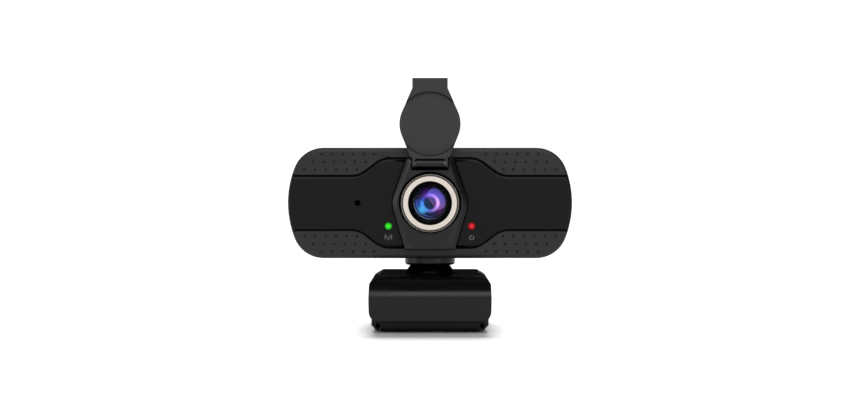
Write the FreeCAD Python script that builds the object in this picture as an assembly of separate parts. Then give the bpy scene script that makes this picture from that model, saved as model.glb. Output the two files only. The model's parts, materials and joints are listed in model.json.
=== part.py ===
import FreeCAD, Part
import math
import os
from FreeCAD import Vector

# Webcam on a folding clip stand, in millimetres. +Z is up and the lens looks along -Y.
# The origin is the mouth of the tripod thread, in the middle of the clip leg's underside.
# The head tilts on a slotted dome, the dome turns on the clip's top plate, the plate opens
# on the leg's rear hinge, and a small foot flap folds at the front of the leg.

# ---- head housing ----
HEAD_W = 100.0          # width across the bulged sides
HEAD_H = 38.9
SIDE_R = 34.0           # radius of each bulged side
CORNER_R = 11.0
FRONT_Y = -11.0         # face with the dimples
PARTING_Y = 1.0
BACK_Y = 12.5
WALL = 1.8
FACE_T = 2.4            # front wall thickness
FRONT_EDGE_R = 1.6
BACK_EDGE_R = 5.0
JOIN = 0.05             # gap between parts that are fixed together

# ---- front panel ----
PANEL_ARM = 9.5         # half height towards the ends
PANEL_MID = 15.7        # half height in the middle
PANEL_S_X = 20.8        # middle of the S between the arm and the middle
PANEL_S_R = 8.0
PANEL_SLOPE_DEG = 37.0
PANEL_RAISE = 0.6
PANEL_INSET = 1.2       # how deep the panel sits in the shell
PANEL_GAP = 0.42        # shadow gap round the panel
PANEL_EDGE_R = 1.25

# ---- dimples in the four corners of the front shell ----
DOT_ROWS = 3
DOTS_PER_ROW = 6
DOT_PITCH = 3.68
DOT_ROW_PITCH = 2.7
DOT_ROW_SHIFT = 3.0
DOT_FIRST_X = 19.6
DOT_TOP_OFFSET = 17.1
DOT_R = 0.52
DOT_DEPTH = 0.42

# ---- lens ----
BEZEL_Y = -15.0         # front face of the bezel
BEZEL_FOLD_Y = -14.35   # where its steep outer bevel meets the shallow inner one
BEZEL_BEVEL_Y = -13.0   # where the outer bevel leaves the panel
BEZEL_GAP = 0.3
BEZEL_TOP = 15.6
BEZEL_BOTTOM = 16.3
BEZEL_TOP_HALF = 8.2
BEZEL_MID_HALF = 13.5
BEZEL_BOTTOM_HALF = 8.7
BEZEL_KNEE = 11.3       # below the axis, where the front face stops narrowing
BEZEL_KNEE_HALF = 6.6
BEZEL_FOLD_TOP_HALF = 7.1
BEZEL_FOLD_MID_HALF = 12.0
BEZEL_FOLD_BOTTOM_HALF = 7.3
BEZEL_FACE_TOP_HALF = 6.2
BEZEL_FACE_MID_HALF = 10.9
BEZEL_END_IN = 0.3      # how far the face stops short of the base's ends
RING_R = 10.1
RING_BORE_R = 7.3
RING_Y = -16.2
RING_SEAT_Y = -13.2
RING_GAP = 0.6          # open groove round the ring
RING_GAP_UP = 0.25      # how far the groove's centre is above the ring's
BARREL_WALL = 0.85
BARREL_FRONT_Y = -15.5
BARREL_BACK_Y = -3.0
GLASS_T = 1.3
GLASS_BULGE = 0.9
GLASS_SET = 0.5         # how far the glass sits behind the barrel's rim
APERTURE_R = 2.1
REAR_GLASS_R = 4.2
HOLDER_W = 17.0

# ---- lights and microphone ----
LED_X = 14.6
LED_DROP = 8.1          # below the lens axis
LED_R = 1.25
MIC_X = -25.4
MIC_HOLE_R = 1.05
MIC_R = 3.0
MIC_T = 2.2

# ---- circuit board ----
BOARD_Y = 2.6           # front face
BOARD_T = 1.2
BOARD_W = 62.0
BOARD_H = 24.0
BOARD_POST_X = 27.0
BOARD_POST_Z = 8.0
POST_R = 2.3
SCREW_R = 0.95
SCREW_HEAD_R = 1.8
SCREW_HEAD_T = 1.1

# ---- housing screws and cable hole ----
HOUSING_SCREW_INSET = 13.5
HOUSING_SCREW_Z = 10.0
CABLE_R = 1.8
CABLE_DROP = 6.0
GROMMET_R = 3.4
VENT_COUNT = 5
VENT_PITCH = 3.0
VENT_LENGTH = 14.0
VENT_W = 1.1
VENT_X = 20.0

# ---- privacy cover ----
COVER_T = 2.2
COVER_GAP = 0.3         # from the bezel's face when closed
COVER_R = 10.65
COVER_RECESS_R = 11.3
COVER_RECESS = 1.25
COVER_GROOVE_TOP = 0.5  # width of the groove round the recess, at its far end
COVER_GROOVE_BOTTOM = 0.2
COVER_GROOVE_DEPTH = 0.45
COVER_TAB_HALF = 6.15
COVER_TAB_START = 12.4  # from the disc's centre to where the tab is straight
COVER_SHOULDER_HALF = 6.8   # half width above the ears, where it clears the bezel
COVER_SHOULDER_GAP = 0.35   # from the bezel's top edge
COVER_TAB_END = 15.9
COVER_AXIS_UP = 13.8    # hinge axis above the lens axis
COVER_AXIS_Y = -15.6
COVER_KNUCKLE_R = 1.25
COVER_PIN_R = 0.5
BARREL_HALF = 5.0       # half length of the bezel's own hinge barrel
SLOT_HALF = 6.5

# ---- neck ----
DOME_Z = 16.0           # centre of the dome, and the tilt axis
DOME_R = 9.4
DOME_T = 1.6
DOME_RISE = 0.35        # how far the dome's crown stands into the head's underside
HEAD_Z = DOME_Z + DOME_R - DOME_RISE + HEAD_H / 2   # height of the lens axis
TILT_DEG = 15.0
COLLAR_R = 8.95
COLLAR_H = 2.65
COLLAR_EDGE_R = 1.0
SEAT_GAP = 0.1
STEM_R = 2.2
NECK_PASS_R = 4.0
NECK_FLANGE_R = 6.0
NECK_FLANGE_T = 1.6
SADDLE_R = 4.6
TILT_HEAD_R = 3.0
TILT_HEAD_T = 1.4
STEM_END_Z = 19.9
HUB_R = 7.4
HUB_WALL = 1.2
RETAINER_R = 9.6
RETAINER_T = 0.9
SPIN_GAP = 0.1

# ---- clip top ----
PLATE_Z = 19.5          # top of the plate
PLATE_HALF = 21.1
PLATE_FLAT_HALF = 17.4  # half width of the flat top, inside the side bevels
BEVEL_DROP = 2.1
LIP_Y = -25.0
LIP_BOTTOM = 3.4
LIP_T = 2.6
LIP_CORNER_R = 4.3
PLATE_BACK_Y = 24.6
BEND_R = 7.5
SHELL_T = 2.0
LINER_T = 1.4
CLIP_DEPTH = 4.9        # plate's top to the liner's underside
LIP_PAD_T = 1.0
CLIP_SCREW_SIDE = 2.5     # from the cavity's side walls to the screws
CLIP_SCREW_END = 2.3      # from the cavity's rear wall

# ---- clip leg ----
LEG_HALF = 20.2
LEG_TOP = 8.0
LEG_FRONT_Y = -20.6
LEG_CHAMFER = 2.2
SOLE = 0.3              # plastic stands this far above the desk
HINGE_Y = 20.3
HINGE_Z = 8.4
HINGE_R = 4.2
HINGE_PIN_R = 1.25
KNUCKLE_HALF = 11.6     # half length of the plate's middle knuckle
KNUCKLE_GAP = 0.4
PIN_GAP = 0.05
THREAD_R = 2.55         # minor radius of a quarter-inch tripod thread
THREAD_DEPTH = 5.5
INSERT_R = 4.6
BOSS_R = 7.5
GRIP_T = 0.8
LEG_NOTCH_W = 1.0       # notches in the leg's arms beside the flap's front corners
LEG_NOTCH_H = 1.4
LEG_NOTCH_Z = 1.6
LEG_NOTCH_DEPTH = 1.6

# ---- foot flap ----
FLAP_AXIS_Y = -9.6
FLAP_AXIS_Z = 3.3
FLAP_HALF = 17.3
FLAP_GAP = 0.35
FLAP_TOP = 5.0
FLAP_KNUCKLE_R = 2.5
FLAP_PIN_R = 0.75
FLAP_PAD_T = 0.7


# ---- shapes ----
def front_point(x, z, y=0.0):
    return Vector(x, y, z)


def side_point(y, z, x=0.0):
    return Vector(x, y, z)


def plan_point(x, y, z=0.0):
    return Vector(x, y, z)


def rounded_wire(corners, place, level=0.0):
    """A closed wire through (u, v, radius) corners, each rounded by a tangent arc."""
    points = [place(c[0], c[1], level) for c in corners]
    count = len(points)
    stretches = []
    for i in range(count):
        here = points[i]
        before = (points[i - 1] - here).normalize()
        after = (points[(i + 1) % count] - here).normalize()
        radius = corners[i][2]
        if radius <= 0:
            stretches.append((here, None, here))
            continue
        half_angle = before.getAngle(after) / 2
        reach = radius / math.tan(half_angle)
        middle = (before + after).normalize() * (radius / math.sin(half_angle) - radius)
        stretches.append((here + before * reach, here + middle, here + after * reach))
    edges = []
    for i in range(count):
        start, middle, end = stretches[i]
        if middle is not None:
            edges.append(Part.Arc(start, middle, end).toShape())
        following = stretches[(i + 1) % count][0]
        if (following - end).Length > 1e-6:
            edges.append(Part.LineSegment(end, following).toShape())
    return Part.Wire(edges)


def mirrored(corners):
    """Adds the other side of an outline that is symmetric about its second axis."""
    return corners + [(-u, v, r) for u, v, r in reversed(corners)]


def prism(wire, along):
    return Part.Face(wire).extrude(along)


def block(x0, x1, y0, y1, z0, z1):
    return Part.makeBox(x1 - x0, y1 - y0, z1 - z0, Vector(x0, y0, z0))


def rod(radius, start, end):
    return Part.makeCylinder(radius, (end - start).Length, start, end - start)


def rod_y(radius, x, z, y0, y1):
    return rod(radius, Vector(x, y0, z), Vector(x, y1, z))


def rod_z(radius, z0, z1, x=0.0, y=0.0):
    return rod(radius, Vector(x, y, z0), Vector(x, y, z1))


def rod_x(radius, y, z, x0, x1):
    return rod(radius, Vector(x0, y, z), Vector(x1, y, z))


def join(shapes):
    whole = shapes[0]
    if len(shapes) > 1:
        whole = whole.multiFuse(shapes[1:])
    return whole.removeSplitter()


def fillet_where(solid, radius, wanted):
    return solid.makeFillet(radius, [e for e in solid.Edges if wanted(e.BoundBox)])


def lathe_y(profile, z):
    """Turns a (radius, y) outline about the lens axis at height z."""
    points = [Vector(r, y, z) for r, y in profile]
    face = Part.Face(Part.makePolygon(points + [points[0]]))
    return face.revolve(Vector(0, 0, z), Vector(0, 1, 0), 360)


def lathe_z(profile):
    """Turns a (radius, z) outline about the neck's upright axis."""
    points = [Vector(r, 0, z) for r, z in profile]
    face = Part.Face(Part.makePolygon(points + [points[0]]))
    return face.revolve(Vector(0, 0, 0), Vector(0, 0, 1), 360)


def at_corners(x, z):
    return [(sx * x, HEAD_Z + sz * z) for sx in (-1, 1) for sz in (-1, 1)]


def screw_y(x, z, head_y, tip_y, head_r=SCREW_HEAD_R, head_t=SCREW_HEAD_T):
    """A cross-head screw along Y. Its head is at head_y and its tip at tip_y."""
    way = 1 if head_y > tip_y else -1
    shank = rod_y(SCREW_R, x, z, tip_y, head_y)
    head = rod_y(head_r, x, z, head_y, head_y + way * head_t)
    reach = head_r * 0.62
    depth = head_t * 0.55
    near, far = sorted((head_y + way * (head_t - depth), head_y + way * (head_t + 1)))
    cross = block(x - reach, x + reach, near, far, z - 0.22, z + 0.22).fuse(
        block(x - 0.22, x + 0.22, near, far, z - reach, z + reach))
    return join([shank, head]).cut(cross)


def screw_z(x, y, head_z, tip_z, head_r=SCREW_HEAD_R, head_t=SCREW_HEAD_T):
    """A cross-head screw along Z whose head faces down."""
    shank = rod_z(SCREW_R, head_z, tip_z, x, y)
    head = rod_z(head_r, head_z - head_t, head_z, x, y)
    reach = head_r * 0.62
    top = head_z - head_t + head_t * 0.55
    cross = block(x - reach, x + reach, y - 0.22, y + 0.22, head_z - head_t - 1, top).fuse(
        block(x - 0.22, x + 0.22, y - reach, y + reach, head_z - head_t - 1, top))
    return join([shank, head]).cut(cross)


# ---- head housing ----
def head_wire(inset, y):
    """The head's outline: bulged sides, four round corners, flat top and bottom."""
    half_w = HEAD_W / 2 - inset
    half_h = HEAD_H / 2 - inset
    side_r = SIDE_R - inset
    corner_r = CORNER_R - inset
    rise = half_h - corner_r
    swing = math.asin(rise / (side_r - corner_r))
    side_centre = half_w - side_r
    corner_x = side_centre + (side_r - corner_r) * math.cos(swing)
    lean = (math.pi / 2 + swing) / 2
    edges = []
    for sx in (1, -1):
        def on_corner(angle, sz, sx=sx):
            x = corner_x + corner_r * math.cos(angle)
            z = rise + corner_r * math.sin(angle)
            return Vector(sx * x, y, HEAD_Z + sz * z)
        side = Vector(sx * half_w, y, HEAD_Z)
        edges.append(Part.Arc(on_corner(swing, -1), side, on_corner(swing, 1)).toShape())
        for sz in (1, -1):
            edges.append(Part.Arc(on_corner(swing, sz), on_corner(lean, sz),
                                  on_corner(math.pi / 2, sz)).toShape())
    for sz in (1, -1):
        z = HEAD_Z + sz * half_h
        edges.append(Part.LineSegment(Vector(-corner_x, y, z), Vector(corner_x, y, z)).toShape())
    return Part.Wire(Part.__sortEdges__(edges))


def head_block(inset, y0, y1, edge_r=0.0, edge_y=None):
    """The head's outline drawn out from y0 to y1, with one face's edge rounded."""
    solid = prism(head_wire(inset, y0), Vector(0, y1 - y0, 0))
    if edge_r > 0:
        solid = fillet_where(solid, edge_r, lambda b: abs(b.YMin - edge_y) < 1e-4
                             and abs(b.YMax - edge_y) < 1e-4)
    return solid


def panel_corners(grow):
    """The S-curved outline of the centre panel, from end to end."""
    slope = math.radians(PANEL_SLOPE_DEG)
    half_run = (PANEL_MID - PANEL_ARM) / math.tan(slope) / 2
    shift = grow * math.tan(slope / 2)
    inner_x = PANEL_S_X - half_run + shift
    outer_x = PANEL_S_X + half_run + shift
    arm = PANEL_ARM + grow
    mid = PANEL_MID + grow
    right = [(inner_x, HEAD_Z + mid, PANEL_S_R + grow), (outer_x, HEAD_Z + arm, PANEL_S_R - grow),
             (HEAD_W, HEAD_Z + arm, 0), (HEAD_W, HEAD_Z - arm, 0),
             (outer_x, HEAD_Z - arm, PANEL_S_R - grow), (inner_x, HEAD_Z - mid, PANEL_S_R + grow)]
    return mirrored(right)


def panel_prism(grow, y0, y1):
    return prism(rounded_wire(panel_corners(grow), front_point, y0), Vector(0, y1 - y0, 0))


def panel_floor_y():
    return FRONT_Y + PANEL_INSET


def dimple_centres():
    centres = []
    for row in range(DOT_ROWS):
        offset = DOT_TOP_OFFSET - row * DOT_ROW_PITCH
        for n in range(DOTS_PER_ROW):
            x = DOT_FIRST_X + row * DOT_ROW_SHIFT + n * DOT_PITCH
            centres += at_corners(x, offset)
    return centres


def dimples():
    ball_r = (DOT_R ** 2 + DOT_DEPTH ** 2) / (2 * DOT_DEPTH)
    y = FRONT_Y + DOT_DEPTH - ball_r
    return [Part.makeSphere(ball_r, Vector(x, y, z)) for x, z in dimple_centres()]


def housing_screw_places():
    return at_corners(HEAD_W / 2 - HOUSING_SCREW_INSET, HOUSING_SCREW_Z)


def board_post_places():
    return at_corners(BOARD_POST_X, BOARD_POST_Z)


def neck_hole():
    return rod_z(NECK_PASS_R + JOIN, head_bottom() - 1, head_bottom() + WALL + 1)


def make_front_shell():
    shell = head_block(0, FRONT_Y, PARTING_Y, FRONT_EDGE_R, FRONT_Y)
    inner_y = FRONT_Y + FACE_T
    shell = shell.cut(head_block(WALL, inner_y, PARTING_Y + 1))
    posts = [rod_y(POST_R, x, z, inner_y - 0.5, BOARD_Y - JOIN) for x, z in board_post_places()]
    posts += [rod_y(POST_R, x, z, inner_y - 0.5, PARTING_Y) for x, z in housing_screw_places()]
    shell = join([shell] + posts)
    tools = [panel_prism(PANEL_GAP, FRONT_Y - 1, panel_floor_y())]
    tools.append(prism(rounded_wire(bezel_outer(JOIN), front_point, FRONT_Y - 1),
                       Vector(0, 1 + PANEL_INSET, 0)))
    tools += [rod_y(SCREW_R + JOIN, x, z, inner_y + 1, BOARD_Y + 1)
              for x, z in board_post_places() + housing_screw_places()]
    tools.append(rod_y(barrel_r() + JOIN, 0, HEAD_Z, FRONT_Y - 1, inner_y + 1))
    tools += [rod_y(LED_R + JOIN, x, HEAD_Z - LED_DROP, FRONT_Y - 1, inner_y + 1)
              for x in (-LED_X, LED_X)]
    tools.append(rod_y(MIC_HOLE_R * 0.7, MIC_X, HEAD_Z, FRONT_Y - 1, inner_y + 1))
    tools.append(neck_hole())
    return shell.cut(tools).cut(dimples())


def make_rear_cover():
    cover = head_block(0, PARTING_Y, BACK_Y, BACK_EDGE_R, BACK_Y)
    cover = cover.cut(head_block(WALL, PARTING_Y - 1, BACK_Y - WALL,
                                 BACK_EDGE_R - WALL, BACK_Y - WALL))
    posts = [rod_y(POST_R + 0.6, x, z, PARTING_Y, BACK_Y - WALL + 0.3)
             for x, z in housing_screw_places()]
    cover = join([cover] + posts)
    tools = []
    for x, z in housing_screw_places():
        tools.append(rod_y(SCREW_R + JOIN, x, z, PARTING_Y - 1, BACK_Y + 1))
        tools.append(rod_y(SCREW_HEAD_R + 0.25, x, z, screw_seat_y(), BACK_Y + 1))
    for side in (-1, 1):
        for n in range(VENT_COUNT):
            z = HEAD_Z + (n - (VENT_COUNT - 1) / 2) * VENT_PITCH
            tools.append(vent_slot(side * VENT_X, z))
    tools.append(rod_y(GROMMET_R - 0.8 + JOIN, 0, cable_z(), BACK_Y - WALL - 1, BACK_Y + 1))
    tools.append(neck_hole())
    return cover.cut(tools)


def screw_seat_y():
    return BACK_Y - WALL - 1.0


def cable_z():
    return HEAD_Z - CABLE_DROP


def vent_slot(x, z):
    half = VENT_LENGTH / 2
    corners = [(x - half, z - VENT_W / 2, VENT_W * 0.49), (x + half, z - VENT_W / 2, VENT_W * 0.49),
               (x + half, z + VENT_W / 2, VENT_W * 0.49), (x - half, z + VENT_W / 2, VENT_W * 0.49)]
    y0 = BACK_Y - WALL - 1
    return prism(rounded_wire(corners, front_point, y0), Vector(0, WALL + 2, 0))


def make_front_panel(side):
    """Half of the centre panel: the bezel parts the left half from the right."""
    top_y = FRONT_Y - PANEL_RAISE
    plate = panel_prism(0, top_y, panel_floor_y())
    plate = plate.common(head_block(0.12, top_y, panel_floor_y()))
    plate = fillet_where(plate, PANEL_EDGE_R, lambda b: abs(b.YMin - top_y) < 1e-4
                         and abs(b.YMax - top_y) < 1e-4)
    bezel = prism(rounded_wire(bezel_outer(BEZEL_GAP), front_point, top_y - 1), Vector(0, 6, 0))
    near, far = sorted((0, -side * HEAD_W))
    other_half = block(near, far, top_y - 1, FRONT_Y + 2, 0, HEAD_Z + HEAD_H)
    light = rod_y(LED_R + 0.08, side * LED_X, HEAD_Z - LED_DROP, top_y - 1, FRONT_Y + 2)
    mic = rod_y(MIC_HOLE_R, MIC_X, HEAD_Z, top_y - 1, FRONT_Y + 2)
    return plate.cut([bezel, other_half, light, mic])


# ---- lens ----
def barrel_r():
    return RING_BORE_R - JOIN


def bezel_outline(top_half, mid_half, bottom_half, end_in, side_r, corner_r, knee_half=None):
    """A tall hexagon with round sides. Without a knee its lower sides run straight."""
    if knee_half is None:
        knee_half = mid_half - (mid_half - bottom_half) * BEZEL_KNEE / (BEZEL_BOTTOM - end_in)
    return mirrored([
        (top_half, HEAD_Z + BEZEL_TOP - end_in, corner_r),
        (mid_half, HEAD_Z, side_r),
        (knee_half, HEAD_Z - BEZEL_KNEE, 0),
        (bottom_half, HEAD_Z - BEZEL_BOTTOM + end_in, corner_r)])


def bezel_outer(grow=0.0):
    return bezel_outline(BEZEL_TOP_HALF + grow, BEZEL_MID_HALF + grow, BEZEL_BOTTOM_HALF + grow,
                         -grow, 9.0, 0.8)


def bezel_fold():
    return bezel_outline(BEZEL_FOLD_TOP_HALF, BEZEL_FOLD_MID_HALF, BEZEL_FOLD_BOTTOM_HALF,
                         BEZEL_END_IN / 2, 8.5, 0.5)


def bezel_face():
    return bezel_outline(BEZEL_FACE_TOP_HALF, BEZEL_FACE_MID_HALF, BEZEL_KNEE_HALF,
                         BEZEL_END_IN, 8.0, 0.3, BEZEL_KNEE_HALF)


def cover_axis_z():
    return HEAD_Z + COVER_AXIS_UP


def make_lens_bezel():
    base = prism(rounded_wire(bezel_outer(), front_point, panel_floor_y()),
                 Vector(0, BEZEL_BEVEL_Y - panel_floor_y(), 0))
    fold = rounded_wire(bezel_fold(), front_point, BEZEL_FOLD_Y)
    outer_bevel = Part.makeLoft(
        [rounded_wire(bezel_outer(), front_point, BEZEL_BEVEL_Y), fold], True, True)
    inner_bevel = Part.makeLoft(
        [fold, rounded_wire(bezel_face(), front_point, BEZEL_Y)], True, True)
    body = join([base, outer_bevel, inner_bevel])
    slot_bottom = cover_axis_z() - COVER_KNUCKLE_R - 1.1
    slot = block(-SLOT_HALF, SLOT_HALF, BEZEL_Y - 2, BEZEL_BEVEL_Y, slot_bottom,
                 HEAD_Z + BEZEL_TOP + 1)
    tools = [slot,
             rod_y(RING_R + RING_GAP, 0, HEAD_Z + RING_GAP_UP, BEZEL_Y - 1, RING_SEAT_Y),
             rod_y(barrel_r() + JOIN, 0, HEAD_Z, BEZEL_Y - 1, FRONT_Y + 3)]
    body = body.cut(tools)
    knuckle = rod_x(COVER_KNUCKLE_R, COVER_AXIS_Y, cover_axis_z(), -BARREL_HALF, BARREL_HALF)
    web = block(-BARREL_HALF, BARREL_HALF, COVER_AXIS_Y, BEZEL_BEVEL_Y + 0.2,
                cover_axis_z() - COVER_KNUCKLE_R, cover_axis_z() + COVER_KNUCKLE_R * 0.5)
    body = join([body, knuckle, web])
    return body.cut(rod_x(COVER_PIN_R + PIN_GAP, COVER_AXIS_Y, cover_axis_z(), -BARREL_HALF - 1,
                          BARREL_HALF + 1))


def make_lens_ring():
    """Turned metal trim with fine steps round its rim and a small inner bevel."""
    step = 0.22
    profile = [(RING_BORE_R, RING_SEAT_Y), (RING_BORE_R, RING_Y + 0.55),
               (RING_BORE_R + 0.45, RING_Y), (RING_R - 3 * step, RING_Y)]
    for n in range(3):
        y = RING_Y + (n + 1) * step
        profile += [(RING_R - (3 - n) * step, y), (RING_R - (2 - n) * step, y)]
    profile.append((RING_R, RING_SEAT_Y))
    return lathe_y(profile, HEAD_Z)


def barrel_bore_r():
    return barrel_r() - BARREL_WALL


def glass_back_y():
    return BARREL_FRONT_Y + GLASS_SET + GLASS_T + GLASS_BULGE


def make_lens_barrel():
    outer = barrel_r()
    bore = barrel_bore_r()
    lip_y = BARREL_FRONT_Y + 0.5
    return lathe_y([(bore, BARREL_BACK_Y), (bore, lip_y), (bore + 0.4, BARREL_FRONT_Y),
                    (outer - 0.15, BARREL_FRONT_Y), (outer, BARREL_FRONT_Y + 0.15),
                    (outer, BARREL_BACK_Y)], HEAD_Z)


def lens_disc(radius, back_y, rim_t, bulge):
    """A plano-convex lens whose round face looks along -Y."""
    ball_r = (radius ** 2 + bulge ** 2) / (2 * bulge)
    rim = rod_y(radius, 0, HEAD_Z, back_y - rim_t - bulge, back_y)
    ball = Part.makeSphere(ball_r, Vector(0, back_y - rim_t - bulge + ball_r, HEAD_Z))
    return rim.common(ball)


def make_front_glass():
    return lens_disc(barrel_bore_r() - JOIN, glass_back_y(), GLASS_T, GLASS_BULGE)


def baffle_back_y():
    return glass_back_y() + 4.2


def make_lens_baffle():
    """Stepped black rings that narrow from the front glass to the aperture."""
    outer = barrel_bore_r() - JOIN
    front = glass_back_y() + JOIN
    steps = 4
    depth = (baffle_back_y() - front) / steps
    profile = [(outer, front)]
    for n in range(steps):
        radius = outer - 0.7 - n * (outer - 0.7 - APERTURE_R) / (steps - 1)
        profile += [(radius, front + n * depth), (radius, front + (n + 1) * depth)]
    profile.append((outer, front + steps * depth))
    return lathe_y(profile, HEAD_Z)


def make_rear_glass():
    return lens_disc(REAR_GLASS_R, baffle_back_y() + JOIN + 2.4, 1.2, 1.2)


def make_glass_spacer():
    """Seat ring that centres the rear glass in the barrel."""
    front = baffle_back_y() + JOIN
    return lathe_y([(REAR_GLASS_R + JOIN, front), (barrel_bore_r() - JOIN, front),
                    (barrel_bore_r() - JOIN, front + 3.2), (APERTURE_R + 1.0, front + 3.2),
                    (APERTURE_R + 1.0, front + 2.5), (REAR_GLASS_R + JOIN, front + 2.5)], HEAD_Z)


def make_lens_holder():
    half = HOLDER_W / 2
    front_y = BARREL_BACK_Y - 2.5
    corners = [(half, HEAD_Z - half, 1.5), (half, HEAD_Z + half, 1.5),
               (-half, HEAD_Z + half, 1.5), (-half, HEAD_Z - half, 1.5)]
    base_y = BOARD_Y - JOIN
    holder = prism(rounded_wire(corners, front_point, base_y - 2.5), Vector(0, 2.5, 0))
    holder = join([holder, rod_y(barrel_r() + 1.1, 0, HEAD_Z, front_y, base_y)])
    tools = [rod_y(barrel_r() + JOIN, 0, HEAD_Z, front_y - 1, BARREL_BACK_Y + JOIN),
             rod_y(4.0, 0, HEAD_Z, front_y, base_y + 1),
             block(-5.2, 5.2, base_y - 1.5, base_y + 1, HEAD_Z - 5.2, HEAD_Z + 5.2)]
    return holder.cut(tools)


def make_ir_filter():
    y = BARREL_BACK_Y + 2 * JOIN
    return rod_y(3.9, 0, HEAD_Z, y, y + 0.6)


def make_image_sensor():
    base = block(-4.5, 4.5, BOARD_Y - 0.95, BOARD_Y, HEAD_Z - 4.5, HEAD_Z + 4.5)
    window = block(-3.0, 3.0, BOARD_Y - 1.2, BOARD_Y - 0.95, HEAD_Z - 2.4, HEAD_Z + 2.4)
    return join([base, window])


# ---- lights, microphone and board ----
def make_light_pipe(x):
    z = HEAD_Z - LED_DROP
    front = FRONT_Y - PANEL_RAISE - 0.1
    back = BOARD_Y - 1.0
    inner = FRONT_Y + FACE_T
    pipe = join([rod_y(LED_R, x, z, front, back), rod_y(LED_R + 0.7, x, z, inner + JOIN, inner + 0.8)])
    return fillet_where(pipe, 0.3, lambda b: abs(b.YMin - front) < 1e-4 and abs(b.YMax - front) < 1e-4)


def make_led_chips():
    z = HEAD_Z - LED_DROP
    return Part.makeCompound([block(x - 0.8, x + 0.8, BOARD_Y - 0.7, BOARD_Y, z - 0.4, z + 0.4)
                              for x in (-LED_X, LED_X)])


def mic_back_y():
    return FRONT_Y + FACE_T + 0.6 + MIC_T


def make_mic_boot():
    front = FRONT_Y + FACE_T + JOIN
    boot = rod_y(MIC_R + 1.0, MIC_X, HEAD_Z, front, mic_back_y())
    return boot.cut([rod_y(MIC_R + JOIN, MIC_X, HEAD_Z, front + 0.5, mic_back_y() + 1),
                     rod_y(MIC_HOLE_R, MIC_X, HEAD_Z, front - 1, front + 1)])


def make_mic_capsule():
    front = mic_back_y() - MIC_T + 0.1
    capsule = rod_y(MIC_R, MIC_X, HEAD_Z, front, front + MIC_T)
    return capsule.cut(rod_y(0.5, MIC_X, HEAD_Z, front - 1, front + 0.6))


def make_main_board():
    half_w = BOARD_W / 2
    half_h = BOARD_H / 2
    corners = [(half_w, HEAD_Z - half_h, 2.0), (half_w, HEAD_Z + half_h, 2.0),
               (-half_w, HEAD_Z + half_h, 2.0), (-half_w, HEAD_Z - half_h, 2.0)]
    board = prism(rounded_wire(corners, front_point, BOARD_Y), Vector(0, BOARD_T, 0))
    return board.cut([rod_y(SCREW_R + 0.2, x, z, BOARD_Y - 1, BOARD_Y + BOARD_T + 1)
                      for x, z in board_post_places()])


def make_board_chips():
    y = BOARD_Y + BOARD_T
    chips = [block(-5, 5, y, y + 1.2, HEAD_Z - 5, HEAD_Z + 5),
             block(9, 14, y, y + 1.5, HEAD_Z - 2, HEAD_Z + 2),
             block(-15, -11.8, y, y + 0.9, HEAD_Z - 2.5, HEAD_Z + 0.5),
             block(-15, -10.5, y, y + 1.8, HEAD_Z + 3, HEAD_Z + 6.2)]
    return Part.makeCompound(chips)


def make_cable_header():
    y = BOARD_Y + BOARD_T
    z = HEAD_Z - BOARD_H / 2 + 3.2
    body = block(-5.2, 5.2, y, y + 4.2, z - 2, z + 2)
    return body.cut(block(-4.4, 4.4, y + 1.2, y + 5, z - 1.2, z + 1.2))


def make_board_screws():
    y = BOARD_Y + BOARD_T
    return Part.makeCompound([screw_y(x, z, y + JOIN, y - 5.5, SCREW_HEAD_R, 0.9)
                              for x, z in board_post_places()])


def make_housing_screws():
    return Part.makeCompound([screw_y(x, z, screw_seat_y() + JOIN, PARTING_Y - 6.5)
                              for x, z in housing_screw_places()])


def make_cable_grommet():
    """Rubber bush snapped into the rear wall, with the lead's hole through it."""
    z = cable_z()
    neck = GROMMET_R - 0.8
    outside = rod_y(GROMMET_R, 0, z, BACK_Y + JOIN, BACK_Y + 1.4)
    outside = fillet_where(outside, 0.6, lambda b: b.YMin > BACK_Y + 1.3)
    inside = rod_y(GROMMET_R, 0, z, BACK_Y - WALL - 1.2, BACK_Y - WALL - JOIN)
    waist = rod_y(neck, 0, z, BACK_Y - WALL - 0.5, BACK_Y + 0.5)
    return join([outside, inside, waist]).cut(rod_y(CABLE_R, 0, z, BACK_Y - WALL - 3, BACK_Y + 3))


# ---- privacy cover ----
def cover_inner_y():
    """The face that meets the bezel when the cover is shut, as it stands when open."""
    return 2 * COVER_AXIS_Y - (BEZEL_Y - COVER_GAP)


def cover_disc_z():
    return cover_axis_z() + COVER_AXIS_UP


def disc_touch(x, drop):
    """Where the line from a corner (x, drop) is tangent to the cover's disc."""
    angle = math.atan2(drop, x) - math.acos(COVER_R / math.hypot(x, drop))
    return COVER_R * math.cos(angle), COVER_R * math.sin(angle)


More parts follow.
